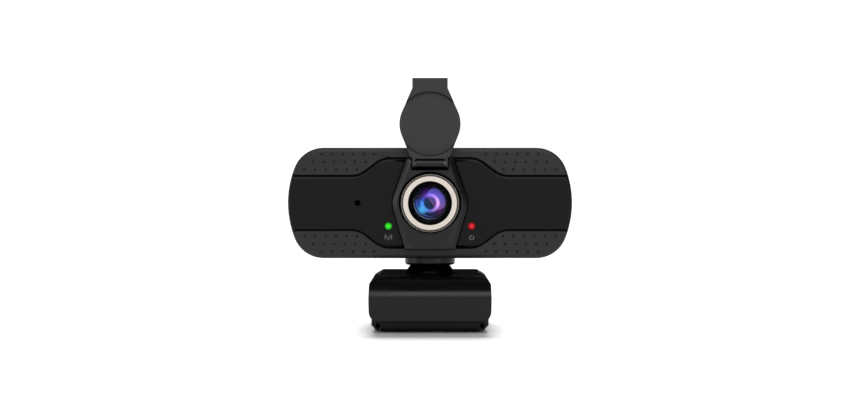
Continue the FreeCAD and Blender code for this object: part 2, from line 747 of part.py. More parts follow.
def make_privacy_cover():
    z = cover_disc_z()
    half = COVER_TAB_HALF
    y_in = cover_inner_y()
    start = COVER_TAB_START
    tangent = disc_touch(half, start)
    shoulder = z - (HEAD_Z + BEZEL_TOP + COVER_SHOULDER_GAP)
    low_tangent = disc_touch(COVER_SHOULDER_HALF, shoulder)
    neck_z = cover_axis_z() + COVER_KNUCKLE_R + 0.35
    edges = []

    def at(x, dz):
        return Vector(x, y_in, z + dz)

    def line(a, b):
        edges.append(Part.LineSegment(a, b).toShape())

    low = neck_z - z
    for side in (1, -1):
        line(at(0, low), at(side * half, low))
        line(at(side * half, low), at(side * half, -shoulder))
        line(at(side * half, -shoulder), at(side * COVER_SHOULDER_HALF, -shoulder))
        line(at(side * COVER_SHOULDER_HALF, -shoulder), at(side * low_tangent[0], -low_tangent[1]))
        edges.append(Part.Arc(at(side * low_tangent[0], -low_tangent[1]), at(side * COVER_R, 0),
                              at(side * tangent[0], tangent[1])).toShape())
        line(at(side * tangent[0], tangent[1]), at(side * half, start))
        line(at(side * half, start), at(side * half, COVER_TAB_END))
        line(at(side * half, COVER_TAB_END), at(0, COVER_TAB_END))
    plate = prism(Part.Wire(Part.__sortEdges__(edges)), Vector(0, COVER_T, 0))
    floor_y = y_in + COVER_RECESS
    groove = rod_y(COVER_RECESS_R, 0, z, floor_y - 1, floor_y + COVER_GROOVE_DEPTH)
    island_r = COVER_RECESS_R - (COVER_GROOVE_TOP + COVER_GROOVE_BOTTOM) / 2
    island_z = z - (COVER_GROOVE_TOP - COVER_GROOVE_BOTTOM) / 2
    groove = groove.cut(rod_y(island_r, 0, island_z, floor_y - 2, floor_y + 2))
    plate = plate.cut([rod_y(COVER_RECESS_R, 0, z, y_in - 1, floor_y), groove])
    ears = []
    for side in (-1, 1):
        x0, x1 = sorted((side * (BARREL_HALF + 0.15), side * half))
        ears.append(rod_x(COVER_KNUCKLE_R, COVER_AXIS_Y, cover_axis_z(), x0, x1))
        ears.append(block(x0, x1, COVER_AXIS_Y - 0.3, COVER_AXIS_Y + COVER_KNUCKLE_R,
                          cover_axis_z(), neck_z + 0.5))
    cover = join([plate.removeSplitter()] + ears)
    return cover.cut(rod_x(COVER_PIN_R + PIN_GAP, COVER_AXIS_Y, cover_axis_z(), -half - 1, half + 1))


def make_cover_pin():
    return rod_x(COVER_PIN_R, COVER_AXIS_Y, cover_axis_z(), -COVER_TAB_HALF, COVER_TAB_HALF)


# ---- neck ----
def dome_ball(radius):
    return Part.makeSphere(radius, Vector(0, 0, DOME_Z))


def head_bottom():
    return HEAD_Z - HEAD_H / 2


def make_neck_collar():
    top = head_bottom() - JOIN
    low = top - COLLAR_H
    ring = rod_z(COLLAR_R, low, top)
    ring = fillet_where(ring, COLLAR_EDGE_R, lambda b: b.ZMax < low + 1e-4 and b.XMax > 1)
    inside = head_bottom() + WALL + JOIN
    stem = rod_z(STEM_R, STEM_END_Z, inside + NECK_FLANGE_T)
    neck = rod_z(NECK_PASS_R, top - 0.2, inside)
    flange = rod_z(NECK_FLANGE_R, inside, inside + NECK_FLANGE_T)
    socket = join([ring, neck, flange]).cut(dome_ball(DOME_R + SEAT_GAP))
    collar = join([socket, stem])
    return collar.cut(rod_z(SCREW_R + JOIN, STEM_END_Z - 1, inside + NECK_FLANGE_T - 0.6))


def make_tilt_screw():
    return screw_z(0, 0, STEM_END_Z - JOIN, head_bottom() + WALL + 0.6, TILT_HEAD_R, TILT_HEAD_T)


def saddle_low():
    return DOME_Z + 5.2


def make_tilt_saddle():
    saddle = dome_ball(DOME_R - DOME_T - JOIN).common(
        rod_z(SADDLE_R, saddle_low(), DOME_Z + DOME_R))
    return saddle.cut(rod_z(STEM_R + JOIN, DOME_Z, DOME_Z + DOME_R + 1))


def make_tilt_spring():
    """A disc spring: its inner edge is on the screw's head, its outer edge on the saddle."""
    low = STEM_END_Z + 0.02
    high = saddle_low() - 0.02
    inner = STEM_R + 0.1
    outer = SADDLE_R - 0.3
    return lathe_z([(inner, low), (inner + 0.5, low), (outer, high - 0.35), (outer, high),
                    (outer - 0.5, high), (inner, low + 0.35)])


def make_swivel_dome():
    hub_low = PLATE_Z - SHELL_T - SPIN_GAP - RETAINER_T - 0.1
    base_z = PLATE_Z + SPIN_GAP
    dome = dome_ball(DOME_R).common(block(-20, 20, -20, 20, base_z, DOME_Z + DOME_R + 1))
    hub = rod_z(HUB_R, hub_low, base_z + 0.5)
    solid = join([dome, hub])
    hollow = dome_ball(DOME_R - DOME_T).common(
        block(-20, 20, -20, 20, base_z, DOME_Z + DOME_R + 1))
    hollow = hollow.common(rod_z(HUB_R - HUB_WALL, base_z, DOME_Z + DOME_R + 1)).fuse(
        rod_z(HUB_R - HUB_WALL, hub_low - 1, base_z + 0.1))
    reach = (DOME_R * math.sin(math.radians(TILT_DEG))
             + STEM_R / math.cos(math.radians(TILT_DEG)) + 0.2)
    half = STEM_R + 0.12
    top = DOME_Z + DOME_R + 1
    slot = block(-half, half, half - reach, reach - half, DOME_Z + 4, top)
    ends = [rod_z(half, DOME_Z + 4, top, 0, y) for y in (half - reach, reach - half)]
    return solid.cut([hollow, slot] + ends)


def retainer_top():
    return PLATE_Z - SHELL_T - SPIN_GAP


def make_swivel_retainer():
    ring = rod_z(RETAINER_R, retainer_top() - RETAINER_T, retainer_top())
    return ring.cut(rod_z(HUB_R + 0.02, retainer_top() - 5, retainer_top() + 5))


# ---- clip top ----
def clip_front_outline(grow=0.0):
    """The clip top seen from the front: bevelled shoulders and round lower corners."""
    return mirrored([
        (PLATE_FLAT_HALF - grow, PLATE_Z, 1.2),
        (PLATE_HALF - 0.2 - grow, PLATE_Z - BEVEL_DROP, 2.0),
        (PLATE_HALF - grow, PLATE_Z - 8.0, 12.0),
        (PLATE_HALF - 0.2 - grow, LIP_BOTTOM, LIP_CORNER_R)])


def clip_side_outline(inset):
    """The clip top seen from the side: flat plate, round bend and hanging front lip."""
    under = PLATE_Z - CLIP_DEPTH
    top = PLATE_Z - inset
    front = LIP_Y + inset
    back = PLATE_BACK_Y - inset
    lip_back = LIP_Y + LIP_T
    return [(back, top, max(2.5 - inset, 0.3)), (front, top, BEND_R - inset),
            (front, LIP_BOTTOM, 0.9), (lip_back, LIP_BOTTOM, 0.9),
            (lip_back, under, 1.5), (back, under, 0)]


def plan_corners(half, back, corner_r):
    """Plan view with round rear corners, long enough at the front to miss the lip."""
    return [(half, LIP_Y - 5, 0), (half, back, corner_r), (-half, back, corner_r),
            (-half, LIP_Y - 5, 0)]


def make_clip_top_shell():
    body = prism(rounded_wire(clip_side_outline(0), side_point, -PLATE_HALF),
                 Vector(2 * PLATE_HALF, 0, 0))
    body = body.common(prism(rounded_wire(clip_front_outline(), front_point, LIP_Y - 5),
                             Vector(0, 60, 0)))
    body = body.common(prism(rounded_wire(plan_corners(PLATE_HALF, PLATE_BACK_Y, 4.0),
                                          plan_point, -1), Vector(0, 0, 30)))
    under = PLATE_Z - CLIP_DEPTH
    half = cavity_half()
    cavity = prism(rounded_wire(plan_cavity(half, 0.0), plan_point, under - 1),
                   Vector(0, 0, 1 + PLATE_Z - SHELL_T - under))
    body = body.cut([cavity, rod_z(HUB_R + SPIN_GAP, under - 1, PLATE_Z + 1)])
    posts = [rod_z(POST_R, under + LINER_T + JOIN, PLATE_Z - SHELL_T + 0.3, x, y)
             for x, y in clip_screw_places()]
    arm = knuckle_arm()
    body = join([body, arm] + posts)
    tools = [rod_z(SCREW_R + JOIN, under - 1, PLATE_Z - SHELL_T, x, y)
             for x, y in clip_screw_places()]
    tools.append(rod_x(HINGE_PIN_R + PIN_GAP, HINGE_Y, HINGE_Z, -KNUCKLE_HALF - 1, KNUCKLE_HALF + 1))
    return body.cut(tools)


def cavity_half():
    return PLATE_FLAT_HALF + 0.6


def cavity_back():
    return HINGE_Y - HINGE_R - 0.8


def plan_cavity(half, inset):
    front = LIP_Y + BEND_R + 1.5 + inset
    back = cavity_back() - inset
    h = half - inset
    return [(h, front, 2.0), (h, back, 2.0), (-h, back, 2.0), (-h, front, 2.0)]


def knuckle_arm():
    """The middle hinge knuckle and the arm that carries it under the plate's rear edge."""
    under = PLATE_Z - CLIP_DEPTH
    barrel = rod_x(HINGE_R, HINGE_Y, HINGE_Z, -KNUCKLE_HALF, KNUCKLE_HALF)
    arm = block(-KNUCKLE_HALF, KNUCKLE_HALF, HINGE_Y - HINGE_R, HINGE_Y + HINGE_R,
                HINGE_Z, under + 0.5)
    return join([barrel, arm])


def clip_screw_places():
    x = cavity_half() - CLIP_SCREW_SIDE
    y = cavity_back() - CLIP_SCREW_END
    return [(sx * x, sy * y) for sx in (-1, 1) for sy in (-1, 1)]


def make_clip_liner():
    """The cover under the plate, which closes the swivel's cavity."""
    under = PLATE_Z - CLIP_DEPTH
    plate = prism(rounded_wire(plan_cavity(cavity_half(), 0.12), plan_point, under),
                  Vector(0, 0, LINER_T))
    tools = []
    for x, y in clip_screw_places():
        tools.append(rod_z(SCREW_R + JOIN, under - 1, under + LINER_T + 1, x, y))
        tools.append(rod_z(SCREW_HEAD_R + 0.2, under - 1, under + LINER_T / 2, x, y))
    return plate.cut(tools)


def make_clip_screws():
    under = PLATE_Z - CLIP_DEPTH
    head_t = LINER_T / 2 - JOIN
    return Part.makeCompound([screw_z(x, y, under + LINER_T / 2 - 0.02, under + LINER_T + 1.2,
                                      SCREW_HEAD_R, head_t) for x, y in clip_screw_places()])


def make_lip_pad():
    """Rubber on the back of the lip, which meets the front of a screen."""
    back = LIP_Y + LIP_T
    half = PLATE_HALF - 5.0
    low = LIP_BOTTOM + 1.6
    high = PLATE_Z - CLIP_DEPTH - 2.0
    corners = [(half, low, 2.0), (half, high, 2.0), (-half, high, 2.0), (-half, low, 2.0)]
    return prism(rounded_wire(corners, front_point, back + 0.02), Vector(0, LIP_PAD_T - 0.02, 0))


# ---- clip leg ----
def leg_front_outline():
    return mirrored([(LEG_HALF, LEG_TOP, 1.0), (LEG_HALF, SOLE + LEG_CHAMFER, 0.6),
                     (LEG_HALF - LEG_CHAMFER, SOLE, 0.6)])


def heel_front_outline():
    top = HINGE_Z + HINGE_R + 1
    return mirrored([(LEG_HALF, top, 0), (LEG_HALF, SOLE + LEG_CHAMFER, 0.6),
                     (LEG_HALF - LEG_CHAMFER, SOLE, 0.6)])


def flap_window():
    """The space in the leg that the foot flap fills, open at the front."""
    back = FLAP_AXIS_Y + FLAP_KNUCKLE_R + FLAP_GAP
    half = FLAP_HALF + FLAP_GAP
    return block(-half, half, LEG_FRONT_Y - 1, back, -1, LEG_TOP + 1)


def leg_notches():
    notches = []
    for side in (-1, 1):
        x0, x1 = sorted((side * FLAP_HALF, side * (FLAP_HALF + FLAP_GAP + LEG_NOTCH_W)))
        notches.append(block(x0, x1, LEG_FRONT_Y - 1, LEG_FRONT_Y + LEG_NOTCH_DEPTH,
                             LEG_NOTCH_Z, LEG_NOTCH_Z + LEG_NOTCH_H))
    return notches


def make_clip_leg():
    back = HINGE_Y
    body = prism(rounded_wire(leg_front_outline(), front_point, LEG_FRONT_Y),
                 Vector(0, back - LEG_FRONT_Y, 0))
    # The side arms slope down to the front, under the lip.
    slope = [(LEG_FRONT_Y, SOLE - 1, 0), (LEG_FRONT_Y, FLAP_TOP + 0.8, 1.2),
             (FLAP_AXIS_Y, FLAP_TOP + 0.8, 6.0), (FLAP_AXIS_Y + 5.5, LEG_TOP, 6.0),
             (back, LEG_TOP, 0), (back, SOLE - 1, 0)]
    body = body.common(prism(rounded_wire(slope, side_point, -LEG_HALF - 1),
                             Vector(2 * LEG_HALF + 2, 0, 0)))
    knuckles = []
    inner = KNUCKLE_HALF + KNUCKLE_GAP
    for side in (-1, 1):
        x0, x1 = sorted((side * inner, side * LEG_HALF))
        knuckles.append(rod_x(HINGE_R, HINGE_Y, HINGE_Z, x0, x1))
        knuckles.append(block(x0, x1, HINGE_Y - HINGE_R, HINGE_Y + HINGE_R, SOLE, HINGE_Z))
    body = body.cut([flap_window()] + leg_notches())
    clear_r = HINGE_R + 0.5
    body = body.cut(block(-inner, inner, HINGE_Y - clear_r, HINGE_Y + 9, -1, LEG_TOP + 9))
    heel = [(HINGE_Y - HINGE_R - 1, SOLE, 0), (HINGE_Y + HINGE_R, SOLE, HINGE_R - 0.2),
            (HINGE_Y + HINGE_R, HINGE_Z + HINGE_R, HINGE_R - 0.2),
            (HINGE_Y - HINGE_R - 1, HINGE_Z + HINGE_R, 0)]
    heels = join(knuckles).common(prism(rounded_wire(heel, side_point, -LEG_HALF),
                                        Vector(2 * LEG_HALF, 0, 0)))
    heels = heels.common(prism(rounded_wire(heel_front_outline(), front_point, HINGE_Y - 9),
                               Vector(0, 20, 0)))
    body = join([body, heels])
    boss = rod_z(BOSS_R, 0, SOLE + 1)
    body = join([body, boss])
    tools = [rod_x(HINGE_PIN_R + PIN_GAP, HINGE_Y, HINGE_Z, -LEG_HALF + 1.2, LEG_HALF - 1.2),
             rod_z(INSERT_R + JOIN, -1, THREAD_DEPTH + 0.9),
             rod_x(FLAP_PIN_R + PIN_GAP, FLAP_AXIS_Y, FLAP_AXIS_Z, -LEG_HALF + 1.0, LEG_HALF - 1.0),
             sole_prism(0.1, SOLE - 1, SOLE + 0.6), grip_prism(0.1, LEG_TOP - 0.5, LEG_TOP + 1)]
    return body.cut(tools)


def sole_prism(grow, z0, z1):
    """The rubber sole's outline: round the thread's boss, behind the flap."""
    half = LEG_HALF - LEG_CHAMFER - 1.4 + grow
    front = FLAP_AXIS_Y + FLAP_KNUCKLE_R + FLAP_GAP + 1.4 - grow
    back = HINGE_Y - HINGE_R - 2.2 + grow
    corners = [(half, front, 2.0), (half, back, 2.0), (-half, back, 2.0), (-half, front, 2.0)]
    pad = prism(rounded_wire(corners, plan_point, z0), Vector(0, 0, z1 - z0))
    return pad.cut(rod_z(BOSS_R + 0.3 - grow, z0 - 1, z1 + 1))


def grip_prism(grow, z0, z1):
    half = LEG_HALF - 4.0 + grow
    front = FLAP_AXIS_Y + 7.0 - grow
    back = HINGE_Y - HINGE_R - 2.2 + grow
    corners = [(half, front, 2.0), (half, back, 2.0), (-half, back, 2.0), (-half, front, 2.0)]
    return prism(rounded_wire(corners, plan_point, z0), Vector(0, 0, z1 - z0))


def make_sole_pad():
    return sole_prism(0, 0, SOLE + 0.55)


def make_grip_pad():
    return grip_prism(0, LEG_TOP - 0.45, LEG_TOP - 0.5 + GRIP_T)


def make_tripod_insert():
    insert = rod_z(INSERT_R, 0, THREAD_DEPTH + 0.8)
    grooves = []
    for z in (2.0, 4.2):
        grooves.append(rod_z(INSERT_R + 1, z, z + 0.5).cut(rod_z(INSERT_R - 0.35, z - 1, z + 2)))
    return insert.cut([rod_z(THREAD_R, -1, THREAD_DEPTH)] + grooves)


def make_hinge_pin():
    return rod_x(HINGE_PIN_R, HINGE_Y, HINGE_Z, -LEG_HALF + 1.3, LEG_HALF - 1.3)


def make_hinge_washers():
    washers = []
    for side in (-1, 1):
        x0, x1 = sorted((side * (KNUCKLE_HALF + 0.08), side * (KNUCKLE_HALF + KNUCKLE_GAP - 0.08)))
        washer = rod_x(HINGE_R - 0.6, HINGE_Y, HINGE_Z, x0, x1)
        washers.append(washer.cut(rod_x(HINGE_PIN_R + PIN_GAP, HINGE_Y, HINGE_Z, x0 - 1, x1 + 1)))
    return Part.makeCompound(washers)


# ---- foot flap ----
def make_foot_flap():
    low = SOLE + 0.1
    side = [(LEG_FRONT_Y, low, 1.0), (LEG_FRONT_Y, FLAP_TOP, 1.0), (FLAP_AXIS_Y, FLAP_TOP, 0),
            (FLAP_AXIS_Y, low, 0)]
    plate = prism(rounded_wire(side, side_point, -FLAP_HALF), Vector(2 * FLAP_HALF, 0, 0))
    knuckle = rod_x(FLAP_KNUCKLE_R, FLAP_AXIS_Y, FLAP_AXIS_Z, -FLAP_HALF, FLAP_HALF)
    flap = join([plate, knuckle])
    return flap.cut([rod_x(FLAP_PIN_R + PIN_GAP, FLAP_AXIS_Y, FLAP_AXIS_Z, -FLAP_HALF - 1,
                           FLAP_HALF + 1), flap_pad_prism(0.1, FLAP_TOP - 0.4, FLAP_TOP + 1)])


def flap_pad_prism(grow, z0, z1):
    half = FLAP_HALF - 2.0 + grow
    front = LEG_FRONT_Y + 1.8 - grow
    back = FLAP_AXIS_Y - FLAP_KNUCKLE_R + 0.6 + grow
    corners = [(half, front, 1.5), (half, back, 1.5), (-half, back, 1.5), (-half, front, 1.5)]
    return prism(rounded_wire(corners, plan_point, z0), Vector(0, 0, z1 - z0))


def make_flap_pad():
    return flap_pad_prism(0, FLAP_TOP - 0.35, FLAP_TOP - 0.4 + FLAP_PAD_T)


def make_flap_pin():
    return rod_x(FLAP_PIN_R, FLAP_AXIS_Y, FLAP_AXIS_Z, -LEG_HALF + 1.1, LEG_HALF - 1.1)


PIECES = {
    "front_shell": make_front_shell,
    "rear_cover": make_rear_cover,
    "left_panel": lambda: make_front_panel(-1),
    "right_panel": lambda: make_front_panel(1),
    "lens_bezel": make_lens_bezel,
    "lens_ring": make_lens_ring,
    "lens_barrel": make_lens_barrel,
    "front_glass": make_front_glass,
    "lens_baffle": make_lens_baffle,
    "rear_glass": make_rear_glass,
    "glass_spacer": make_glass_spacer,
    "lens_holder": make_lens_holder,
    "ir_filter": make_ir_filter,
    "image_sensor": make_image_sensor,
    "green_light_pipe": lambda: make_light_pipe(-LED_X),
    "red_light_pipe": lambda: make_light_pipe(LED_X),
    "led_chips": make_led_chips,
    "mic_boot": make_mic_boot,
    "mic_capsule": make_mic_capsule,
    "main_board": make_main_board,
    "board_chips": make_board_chips,
    "cable_header": make_cable_header,
    "board_screws": make_board_screws,
    "housing_screws": make_housing_screws,
    "cable_grommet": make_cable_grommet,
    "privacy_cover": make_privacy_cover,
    "cover_pin": make_cover_pin,
    "neck_collar": make_neck_collar,
    "tilt_screw": make_tilt_screw,
    "tilt_saddle": make_tilt_saddle,
    "tilt_spring": make_tilt_spring,
    "swivel_dome": make_swivel_dome,
    "swivel_retainer": make_swivel_retainer,
    "clip_top_shell": make_clip_top_shell,
    "clip_liner": make_clip_liner,
    "clip_screws": make_clip_screws,
    "lip_pad": make_lip_pad,
    "clip_leg": make_clip_leg,
    "sole_pad": make_sole_pad,
    "grip_pad": make_grip_pad,
    "tripod_insert": make_tripod_insert,
    "hinge_pin": make_hinge_pin,
    "hinge_washers": make_hinge_washers,
    "foot_flap": make_foot_flap,
    "flap_pad": make_flap_pad,
    "flap_pin": make_flap_pin,
}

os.makedirs("parts", exist_ok=True)
for name, make in PIECES.items():
    shape = make()
    if not shape.isValid() or not shape.Solids:
        raise ValueError(name + " is not a valid solid")
    print(name, "solids", len(shape.Solids), "volume", round(shape.Volume, 1))
    shape.exportStep("parts/" + name + ".step")
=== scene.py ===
import json
import math

import bmesh
import bpy
from mathutils import Matrix, Vector

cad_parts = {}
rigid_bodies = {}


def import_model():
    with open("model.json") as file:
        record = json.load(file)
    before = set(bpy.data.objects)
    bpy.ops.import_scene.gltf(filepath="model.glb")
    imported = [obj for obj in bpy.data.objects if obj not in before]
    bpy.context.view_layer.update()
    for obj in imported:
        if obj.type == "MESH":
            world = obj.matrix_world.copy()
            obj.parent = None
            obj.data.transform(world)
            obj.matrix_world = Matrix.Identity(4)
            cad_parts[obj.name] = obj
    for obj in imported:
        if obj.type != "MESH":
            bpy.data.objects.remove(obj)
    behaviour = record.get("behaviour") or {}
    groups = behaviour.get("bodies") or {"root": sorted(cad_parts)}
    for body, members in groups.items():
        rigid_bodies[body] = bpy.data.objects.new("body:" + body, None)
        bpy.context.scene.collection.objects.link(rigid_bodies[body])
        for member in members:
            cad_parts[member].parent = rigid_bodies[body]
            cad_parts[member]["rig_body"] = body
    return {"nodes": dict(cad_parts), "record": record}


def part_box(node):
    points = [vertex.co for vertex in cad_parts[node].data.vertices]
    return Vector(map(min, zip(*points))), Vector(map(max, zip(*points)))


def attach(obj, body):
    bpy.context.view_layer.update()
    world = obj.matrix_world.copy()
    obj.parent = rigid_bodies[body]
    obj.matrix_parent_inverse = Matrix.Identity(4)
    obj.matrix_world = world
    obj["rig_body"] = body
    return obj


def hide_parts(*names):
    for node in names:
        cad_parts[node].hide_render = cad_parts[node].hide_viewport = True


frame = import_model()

print("frame loaded:", len(frame["nodes"]), "nodes")
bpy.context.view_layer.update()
mm = 0.001


# where things are, read from the frame
def centreOf(node):
    low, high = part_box(node)
    return (low + high) / 2


lensCentre = centreOf("lens_ring")
lensAxisZ = lensCentre.z
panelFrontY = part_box("left_panel")[0].y


# shader node helpers
def addNode(tree, kind, values=None, **settings):
    node = tree.nodes.new(kind)
    for key, value in settings.items():
        setattr(node, key, value)
    for key, value in (values or {}).items():
        node.inputs[key].default_value = value
    return node


def math2(tree, operation, a, b, clamp=False):
    # one Math node; a and b are sockets or numbers
    node = addNode(tree, "ShaderNodeMath", operation=operation, use_clamp=clamp)
    for index, value in enumerate((a, b)):
        if isinstance(value, (int, float)):
            node.inputs[index].default_value = value
        elif value is not None:
            tree.links.new(value, node.inputs[index])
    return node.outputs[0]


def mapRange(tree, value, fromMin, fromMax, toMin=0.0, toMax=1.0, smooth=False):
    node = addNode(tree, "ShaderNodeMapRange")
    if smooth:
        node.interpolation_type = "SMOOTHSTEP"
    tree.links.new(value, node.inputs["Value"])
    for key, number in (("From Min", fromMin), ("From Max", fromMax),
                        ("To Min", toMin), ("To Max", toMax)):
        if isinstance(number, (int, float)):
            node.inputs[key].default_value = number
        else:
            tree.links.new(number, node.inputs[key])
    return node.outputs["Result"]


def mixColour(tree, factor, a, b, blend="MIX"):
    node = addNode(tree, "ShaderNodeMix", data_type="RGBA", blend_type=blend)
    for socket, value in ((node.inputs[0], factor), (node.inputs[6], a), (node.inputs[7], b)):
        if isinstance(value, bpy.types.NodeSocket):
            tree.links.new(value, socket)
        else:
            socket.default_value = value
    return node.outputs[2]


def startGroup(name, inputs, outputs):
    tree = bpy.data.node_groups.new(name, "ShaderNodeTree")
    for label, default in inputs:
        kind = "NodeSocketVector" if isinstance(default, tuple) else "NodeSocketFloat"
        socket = tree.interface.new_socket(label, in_out="INPUT", socket_type=kind)
        socket.default_value = default
    for label, kind in outputs:
        tree.interface.new_socket(label, in_out="OUTPUT", socket_type=kind)
    return tree, tree.nodes.new("NodeGroupInput"), tree.nodes.new("NodeGroupOutput")


# effects shared by the materials
def buildMouldGrain():
    # fine spark-eroded grain of a mould, with slow mottling of the moulded skin
    tree, start, end = startGroup("mouldGrain", [("Scale", 2600.0), ("Mottle Scale", 60.0)],
                                  [("Height", "NodeSocketFloat"), ("Mottle", "NodeSocketFloat")])
    where = addNode(tree, "ShaderNodeTexCoord").outputs["Object"]
    fine = addNode(tree, "ShaderNodeTexNoise", {"Detail": 3.0, "Roughness": 0.6})
    cells = addNode(tree, "ShaderNodeTexVoronoi", feature="SMOOTH_F1")
    slow = addNode(tree, "ShaderNodeTexNoise", {"Detail": 4.0, "Roughness": 0.55})
    for node, scale in ((fine, "Scale"), (cells, "Scale"), (slow, "Mottle Scale")):
        tree.links.new(where, node.inputs["Vector"])
        tree.links.new(start.outputs[scale], node.inputs["Scale"])
    height = math2(tree, "MULTIPLY_ADD", cells.outputs["Distance"], 0.6)
    tree.links.new(fine.outputs["Fac"], height.node.inputs[2])
    tree.links.new(height, end.inputs["Height"])
    tree.links.new(slow.outputs["Fac"], end.inputs["Mottle"])
    return tree


def buildEdgeWear():
    # rounded edge normals, and a mask of rubbed edges broken up by noise
    tree, start, end = startGroup("edgeWear", [("Radius", 0.00025), ("Noise Scale", 300.0)],
                                  [("Normal", "NodeSocketVector"), ("Mask", "NodeSocketFloat")])
    round_ = addNode(tree, "ShaderNodeBevel", samples=6)
    tree.links.new(start.outputs["Radius"], round_.inputs["Radius"])
    plain = addNode(tree, "ShaderNodeNewGeometry").outputs["Normal"]
    dot = addNode(tree, "ShaderNodeVectorMath", operation="DOT_PRODUCT")
    tree.links.new(round_.outputs["Normal"], dot.inputs[0])
    tree.links.new(plain, dot.inputs[1])
    edge = mapRange(tree, dot.outputs["Value"], 0.995, 0.80, 0.0, 1.0)
    where = addNode(tree, "ShaderNodeTexCoord").outputs["Object"]
    noise = addNode(tree, "ShaderNodeTexNoise", {"Detail": 5.0})
    tree.links.new(where, noise.inputs["Vector"])
    tree.links.new(start.outputs["Noise Scale"], noise.inputs["Scale"])
    broken = mapRange(tree, noise.outputs["Fac"], 0.42, 0.62, 0.0, 1.0)
    tree.links.new(math2(tree, "MULTIPLY", edge, broken), end.inputs["Mask"])
    tree.links.new(round_.outputs["Normal"], end.inputs["Normal"])
    return tree


def buildDust():
    # specks and haze that settle on upward faces
    tree, start, end = startGroup("dust", [("Amount", 0.2), ("Speck Scale", 900.0)],
                                  [("Mask", "NodeSocketFloat")])
    normal = addNode(tree, "ShaderNodeNewGeometry").outputs["Normal"]
    split = addNode(tree, "ShaderNodeSeparateXYZ")
    tree.links.new(normal, split.inputs[0])
    upward = mapRange(tree, split.outputs["Z"], 0.35, 0.95, 0.0, 1.0)
    where = addNode(tree, "ShaderNodeTexCoord").outputs["Object"]
    specks = addNode(tree, "ShaderNodeTexVoronoi")
    haze = addNode(tree, "ShaderNodeTexNoise", {"Scale": 90.0, "Detail": 6.0})
    tree.links.new(where, specks.inputs["Vector"])
    tree.links.new(where, haze.inputs["Vector"])
    tree.links.new(start.outputs["Speck Scale"], specks.inputs["Scale"])
    dots = mapRange(tree, specks.outputs["Distance"], 0.16, 0.08, 0.0, 1.0)
    cloud = mapRange(tree, haze.outputs["Fac"], 0.45, 0.75, 0.0, 0.6)
    both = math2(tree, "MAXIMUM", dots, cloud)
    shown = math2(tree, "MULTIPLY", both, upward)
    tree.links.new(math2(tree, "MULTIPLY", shown, start.outputs["Amount"], clamp=True),
                   end.inputs["Mask"])
    return tree


def buildCrevice():
    # mask of narrow gaps and small pits, where little light reaches
    tree, start, end = startGroup("crevice", [("Reach", 0.0006)], [("Mask", "NodeSocketFloat")])
    open_ = addNode(tree, "ShaderNodeAmbientOcclusion", samples=8)
    tree.links.new(start.outputs["Reach"], open_.inputs["Distance"])
    tree.links.new(mapRange(tree, open_.outputs["AO"], 0.90, 0.45, 0.0, 1.0), end.inputs["Mask"])
    return tree


def buildBow():
    # height that bows an upright face outwards, so that its gloss fades from top to bottom
    tree, start, end = startGroup("bow", [("Curve", 10.0), ("Level", 0.0)],
                                  [("Height", "NodeSocketFloat")])
    where = addNode(tree, "ShaderNodeTexCoord").outputs["Object"]
    split = addNode(tree, "ShaderNodeSeparateXYZ")
    tree.links.new(where, split.inputs[0])
    above = math2(tree, "SUBTRACT", split.outputs["Z"], start.outputs["Level"])
    square = math2(tree, "MULTIPLY", above, above)
    half = math2(tree, "MULTIPLY", start.outputs["Curve"], -0.5)
    tree.links.new(math2(tree, "MULTIPLY", square, half), end.inputs["Height"])
    return tree


def buildTurning():
    # lathe marks: rings about an axis along Y, broken slightly by noise
    tree, start, end = startGroup("turning", [("Centre", (0.0, 0.0, 0.0)), ("Pitch", 0.00012)],
                                  [("Height", "NodeSocketFloat"), ("Angle", "NodeSocketFloat")])
    where = addNode(tree, "ShaderNodeTexCoord").outputs["Object"]
    offset = addNode(tree, "ShaderNodeVectorMath", operation="SUBTRACT")
    tree.links.new(where, offset.inputs[0])
    tree.links.new(start.outputs["Centre"], offset.inputs[1])
    split = addNode(tree, "ShaderNodeSeparateXYZ")
    tree.links.new(offset.outputs[0], split.inputs[0])
    square = math2(tree, "ADD", math2(tree, "POWER", split.outputs["X"], 2.0),
                   math2(tree, "POWER", split.outputs["Z"], 2.0))
    radius = math2(tree, "SQRT", square, None)
    turns = math2(tree, "DIVIDE", radius, start.outputs["Pitch"])
    wave = math2(tree, "SINE", math2(tree, "MULTIPLY", turns, 2 * math.pi), None)
    noise = addNode(tree, "ShaderNodeTexNoise", {"Scale": 1400.0, "Detail": 2.0})
    tree.links.new(where, noise.inputs["Vector"])
    height = math2(tree, "MULTIPLY_ADD", wave, 0.5)
    tree.links.new(noise.outputs["Fac"], height.node.inputs[2])
    tree.links.new(height, end.inputs["Height"])
    tree.links.new(math2(tree, "ARCTAN2", split.outputs["Z"], split.outputs["X"]),
                   end.inputs["Angle"])
    return tree


effects = {"mouldGrain": buildMouldGrain(), "edgeWear": buildEdgeWear(),
           "dust": buildDust(), "bow": buildBow(), "crevice": buildCrevice(),
           "turning": buildTurning()}


def useEffect(tree, name, values=None):
    node = tree.nodes.new("ShaderNodeGroup")
    node.node_tree = effects[name]
    for key, value in (values or {}).items():
        node.inputs[key].default_value = value
    return node


def startMaterial(name):
    material = bpy.data.materials.new(name)
    material.use_nodes = True
    tree = material.node_tree
    tree.nodes.clear()
    shader = addNode(tree, "ShaderNodeBsdfPrincipled")
    output = addNode(tree, "ShaderNodeOutputMaterial")
    tree.links.new(shader.outputs[0], output.inputs["Surface"])
    return material, tree, shader


def opaque(colour, factor=1.0):
    return (colour[0] * factor, colour[1] * factor, colour[2] * factor, 1.0)


